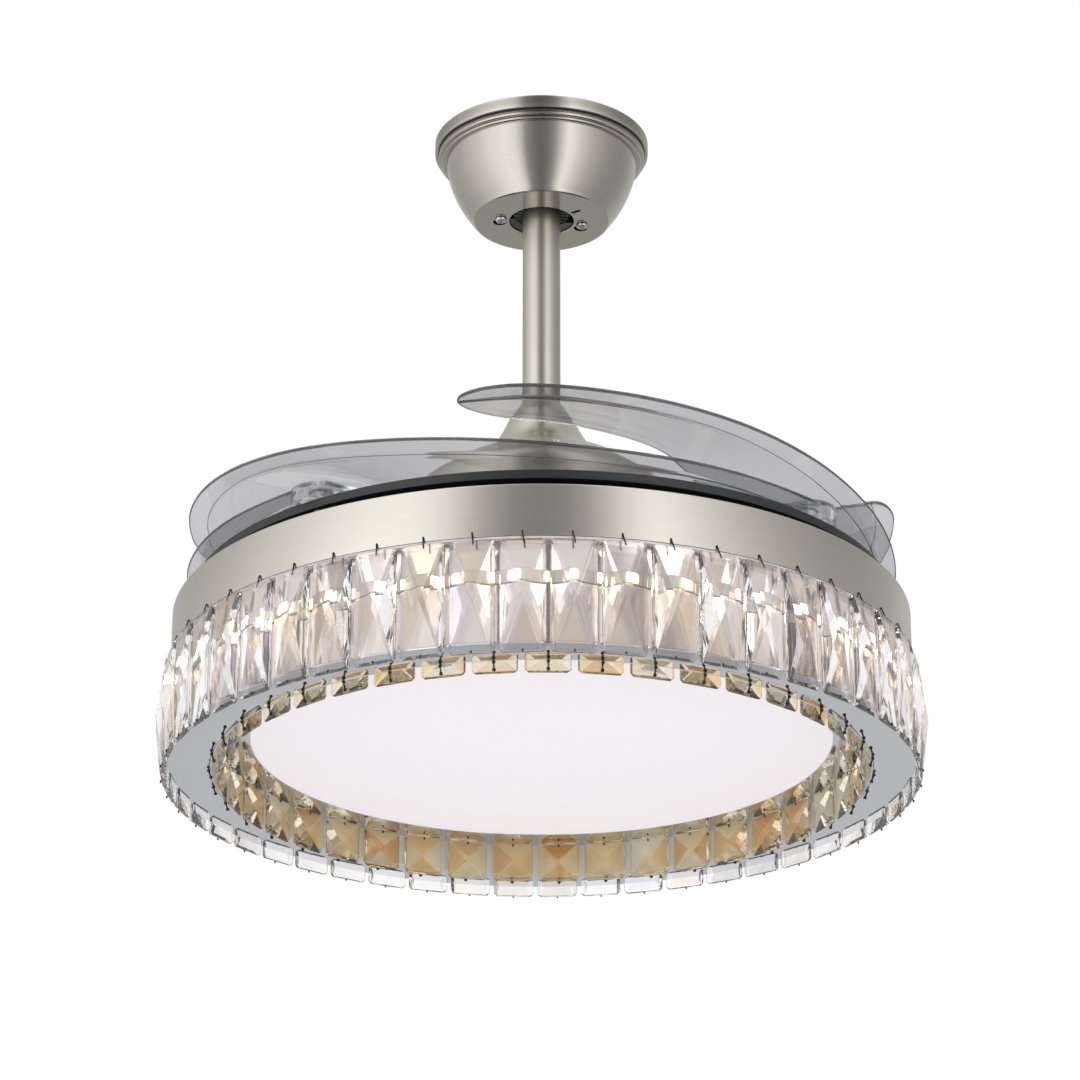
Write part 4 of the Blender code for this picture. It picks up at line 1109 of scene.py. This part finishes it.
def make_led_strip():
    """Flexible board round the drum wall with a faint painted glow, and a row of warm chips."""
    outer, high, low = extent("led_strip")
    outline = ring_corners(outer, outer - led_board_thickness, high, low)
    turned_piece("led_board", "led_strip", outline, "board_painted_glow")
    bm = bmesh.new()
    for step in range(chip_count):
        made = bmesh.ops.create_cube(bm, size=1.0)["verts"]
        bmesh.ops.scale(bm, verts=made, vec=chip_size)
        turn = crystal_turn - pi / 2 + tau * step / chip_count
        place = turned(turn) @ Matrix.Translation((outer, 0, (high + low) / 2))
        bmesh.ops.transform(bm, matrix=place, verts=made)
    chips = new_object("led_chips", mesh_from(bm, "led_chips"), "led_chip")
    round_edges(settled(chips), edge_round)
    add_detail(chips, "led_strip")


# Crystals

def stone_mesh(name, width, height, corner, inset, levels):
    """A stone with cut corners and a bevel round its face, cut to an X in front and behind."""
    half_width, half_height = width / 2, height / 2
    back_peak, back_face, back_girdle, front_girdle, front_face, front_peak = levels
    outline = [(half_width, half_height - corner), (half_width - corner, half_height),
               (corner - half_width, half_height), (-half_width, half_height - corner),
               (-half_width, corner - half_height), (corner - half_width, -half_height),
               (half_width - corner, -half_height), (half_width, corner - half_height)]
    wide, high, low = half_width - inset[0], half_height - inset[1], inset[2] - half_height
    bm = bmesh.new()
    back, front = [[bm.verts.new((level, across, up)) for across, up in outline]
                   for level in (back_girdle, front_girdle)]
    for (behind, behind_next), (ahead, ahead_next) in zip(round_pairs(back), round_pairs(front)):
        bm.faces.new((behind, behind_next, ahead_next, ahead))
    for ring, level, peak in ((back, back_face, back_peak), (front, front_face, front_peak)):
        left, right, low_left, low_right = [bm.verts.new((level, across, up)) for up in (high, low)
                                            for across in (wide, -wide)]
        sides = round_pairs([left, right, low_right, low_left])
        for index, (first, second) in enumerate(sides):
            bm.faces.new((ring[2 * index], ring[2 * index + 1], first))
            bm.faces.new((ring[2 * index + 1], ring[(2 * index + 2) % len(ring)], second, first))
        middle = (left.co + low_right.co) / 2
        tip = bm.verts.new((peak, middle.y, middle.z))
        for first, second in sides:
            bm.faces.new((first, second, tip))
    return mesh_from(bm, name)


def stone_ring(name, node, stone, count, first, radius, middle, outward, seed):
    """All the stones of one ring, each turned a touch its own way and with a random value on each facet that
    picks its painted glint or shade.
    """
    draw = random.Random(seed)
    bm = bmesh.new()
    for step in range(count):
        turn = first + tau * step / count
        facing = turn if outward else turn + pi
        place = Matrix.Translation((radius * cos(turn), radius * sin(turn), middle))
        place = place @ turned(facing + draw.uniform(-crystal_wobble, crystal_wobble))
        place = place @ turned(draw.uniform(-crystal_wobble, crystal_wobble) * crystal_tilt_share, "Y")
        start = len(bm.verts)
        bm.from_mesh(stone)
        bm.verts.ensure_lookup_table()
        bmesh.ops.transform(bm, matrix=place, verts=bm.verts[start:])
    stones = new_object(name, mesh_from(bm, name), node_slots[node])
    round_edges(stones, crystal_edge_round, 1)
    stones.modifiers["edges"].angle_limit = facet_angle
    mesh = settled(stones).data
    mesh.shade_flat()
    # Each facet's random value picks its painted glint or painted shade
    tint = mesh.attributes.new("facet_painted_light", "FLOAT", "FACE")
    tint.data.foreach_set("value", [draw.random() for face in mesh.polygons])
    dress(stones, node)


def wires(name, routes, radius, node, finish="black_wire"):
    """Bent wires, one spline for each route."""
    curve = bpy.data.curves.new(name, "CURVE")
    curve.dimensions = "3D"
    curve.bevel_depth = radius
    curve.bevel_resolution = 2
    curve.use_fill_caps = True
    for route in routes:
        line = curve.splines.new("POLY")
        line.points.add(len(route) - 1)
        for point, (x, y, z) in zip(line.points, route):
            point.co = (x, y, z, 1)
    add_detail(new_object(name, curve, finish), node)


def add_beads(name, places, radius, node):
    """Small dark balls, one at each place."""
    bm = bmesh.new()
    for place in places:
        bmesh.ops.create_icosphere(bm, subdivisions=2, radius=radius, matrix=Matrix.Translation(place))
    add_detail(new_object(name, mesh_from(bm, name), "black_wire"), node)


def round_axis(routes, count, first):
    """Copies routes drawn at the +X side to every place of a ring."""
    placed = []
    for step in range(count):
        place = turned(first + tau * step / count)
        placed += [[place @ point for point in route] for route in routes]
    return placed


def make_outer_crystals():
    """Ring of long stones, each held by a hook at its top and a pin at its foot."""
    node = "outer_crystals"
    high, low = top_of(node) - crystal_end_trim, bottom_of(node) + crystal_end_trim
    stone = stone_mesh("outer_stone", crystal_width, high - low, crystal_corner, crystal_inset,
                       crystal_levels)
    first = crystal_turn - pi / 2
    stone_ring("outer_stones", node, stone, crystal_count, first, crystal_back_radius, (high + low) / 2,
               True, crystal_seed)
    bevel = crystal_back_radius + crystal_girdle + hook_stand_off
    face = crystal_back_radius + crystal_face + hook_stand_off
    band = reach("nickel_band") + hook_stand_off
    upper = [Vector((band - band_wall, -hook_slant / 2, high + hook_rise)),
             Vector((band, -hook_slant / 2, high + hook_rise)),
             Vector((bevel, hook_slant / 2, high - hook_drop))]
    lower = [Vector((face, 0, low + hook_foot_reach)), Vector((face, 0, low - hook_foot_drop))]
    routes = round_axis([upper, lower], crystal_count, first)
    wires("outer_hooks", routes, hook_radius, node)
    add_beads("hook_ends", [route[-1] for route in routes[::2]], hook_bead_radius, node)


def make_inner_crystals():
    """Ring of small stones round the recess, each held by a twisted pin and a short one."""
    node = "inner_crystals"
    high, low = top_of(node), bottom_of(node) + crystal_end_trim
    stone = stone_mesh("inner_stone", pendant_width, high - low, pendant_corner, pendant_inset,
                       pendant_levels)
    first = pendant_turn - pi / 2
    stone_ring("inner_stones", node, stone, pendant_count, first, pendant_back_radius, (high + low) / 2,
               False, pendant_seed)
    face = pendant_back_radius - pendant_face - pin_radius
    start = Vector((pin_circle + pin_lean, 0, bottom_of("bottom_ring") - pin_head_radius))
    foot = Vector((pin_circle - pin_lean, 0, low + pin_radius + edge_round))
    lower = [start]
    for step in range(1, pin_twist_count):
        side = pin_twist if step % 2 else -pin_twist
        lower.append(start.lerp(foot, step / pin_twist_count) + Vector((0, side, 0)))
    lower.append(foot)
    upper = [Vector((face, 0, high - pin_head_radius)), Vector((face, 0, high - pin_top_reach))]
    routes = round_axis([lower, upper], pendant_count, first)
    wires("inner_pins", routes, pin_radius, node)
    ends = [point for route in routes[::2] for point in (route[0], route[-1])]
    add_beads("pin_heads", ends, pin_head_radius, node)


def finish_kept_nodes():
    """Gives each CAD node that still shows the finish of its slot."""
    for name, node in frame["nodes"].items():
        if node.hide_render:
            continue
        for place in node.material_slots:
            place.material = finishes[node_slots[name]]


# Studio

def make_world():
    """White to the camera and through glass; metal also sees a dark gap between two bright windows."""
    world = bpy.data.worlds.new("studio")
    bpy.context.scene.world = world
    world.use_nodes = True
    tree = world.node_tree
    parts = split_place(tree, "Generated")
    azimuth = worked(tree, "ARCTAN2", parts["X"], worked(tree, "MULTIPLY", parts["Y"], -1.0))
    peak = max(value for angle, value in reflected_levels)
    levels = [(angle / full_turn_degrees + 0.5, (value / peak,) * 3) for angle, value in reflected_levels]
    colours = colour_ramp(tree, worked(tree, "MULTIPLY_ADD", azimuth, 1 / tau, 0.5), levels)
    low_start, low_end, low_share = low_fade
    low = spread(tree, parts["Z"], low_share * peak, peak, (low_start, low_end))
    ahead = worked(tree, "MULTIPLY", worked(tree, "LESS_THAN", parts["Y"], back_share), peak)
    high_middle, high_start, high_end, high_share = high_fade
    apart = worked(tree, "ABSOLUTE", worked(tree, "ADD", parts["Z"], -high_middle))
    high = spread(tree, apart, high_share, 1.0, (high_start, high_end))
    level = worked(tree, "MULTIPLY", worked(tree, "MAXIMUM", low, ahead), high)
    reflected = vector_worked(tree, "SCALE", {0: colours, "Scale": level})
    rays = add_node(tree, "LightPath", {}, "Is Camera Ray").node.outputs
    seen = worked(tree, "MAXIMUM", rays["Is Camera Ray"], rays["Is Transmission Ray"])
    gloss = mixed(tree, rays["Is Glossy Ray"], (fill_level, fill_level, fill_level, 1), reflected)
    feed(tree, tree.nodes["Background"], {"Strength": background_level,
                                          "Color": mixed(tree, seen, gloss, (1, 1, 1, 1))})


def make_floor():
    low = floor_height - floor_thickness
    outline = [(0, floor_height), (floor_radius, floor_height), (floor_radius, low), (0, low)]
    floor = new_object("floor", lathe("floor", outline, small_steps))
    finish, tree, shader = new_finish("pale_floor")
    grains = object_noise(tree, floor_grain)
    feed(tree, shader, {"Roughness": floor_roughness, "Base Color": tinted(tree, grains, *floor_tints)})
    floor.data.materials.append(finish)
    floor.visible_glossy = False
    floor.visible_transmission = False


def add_softbox(name, turn):
    """Tall soft light that faces the fan from beside the camera."""
    light = bpy.data.lights.new(name, "AREA")
    light.shape = "RECTANGLE"
    light.size, light.size_y = softbox_size
    light.energy = softbox_power
    item = new_object(name, light)
    item.location = (softbox_distance * sin(turn), -softbox_distance * cos(turn), softbox_height)
    item.rotation_euler = (pi / 2, 0, turn)
    item.visible_camera = False
    item.visible_glossy = False


def make_camera():
    camera = bpy.data.cameras.new("camera")
    camera.lens = camera_lens
    camera.shift_x = camera_shift
    item = new_object("camera", camera)
    item.location = camera_place
    item.rotation_euler = (pi / 2 + camera_pitch, 0, 0)
    bpy.context.scene.camera = item


finishes = make_finishes()
make_camera()
make_canopy()
make_canopy_shade_sheet()
make_canopy_groove_shade()
make_canopy_screw("left")
make_canopy_screw("right")
make_ball()
make_rod()
make_collar()
make_cover()
make_motor()
make_motor_shade_sheet()
make_disc()
make_blades()
make_band()
make_drum_rings()
make_crystal_hoop()
make_diffuser()
make_led_strip()
make_outer_crystals()
make_inner_crystals()
finish_kept_nodes()
make_world()
make_floor()
add_softbox("softbox_left", -softbox_turn)
add_softbox("softbox_right", softbox_turn)
bpy.context.scene.view_settings.view_transform = "Standard"
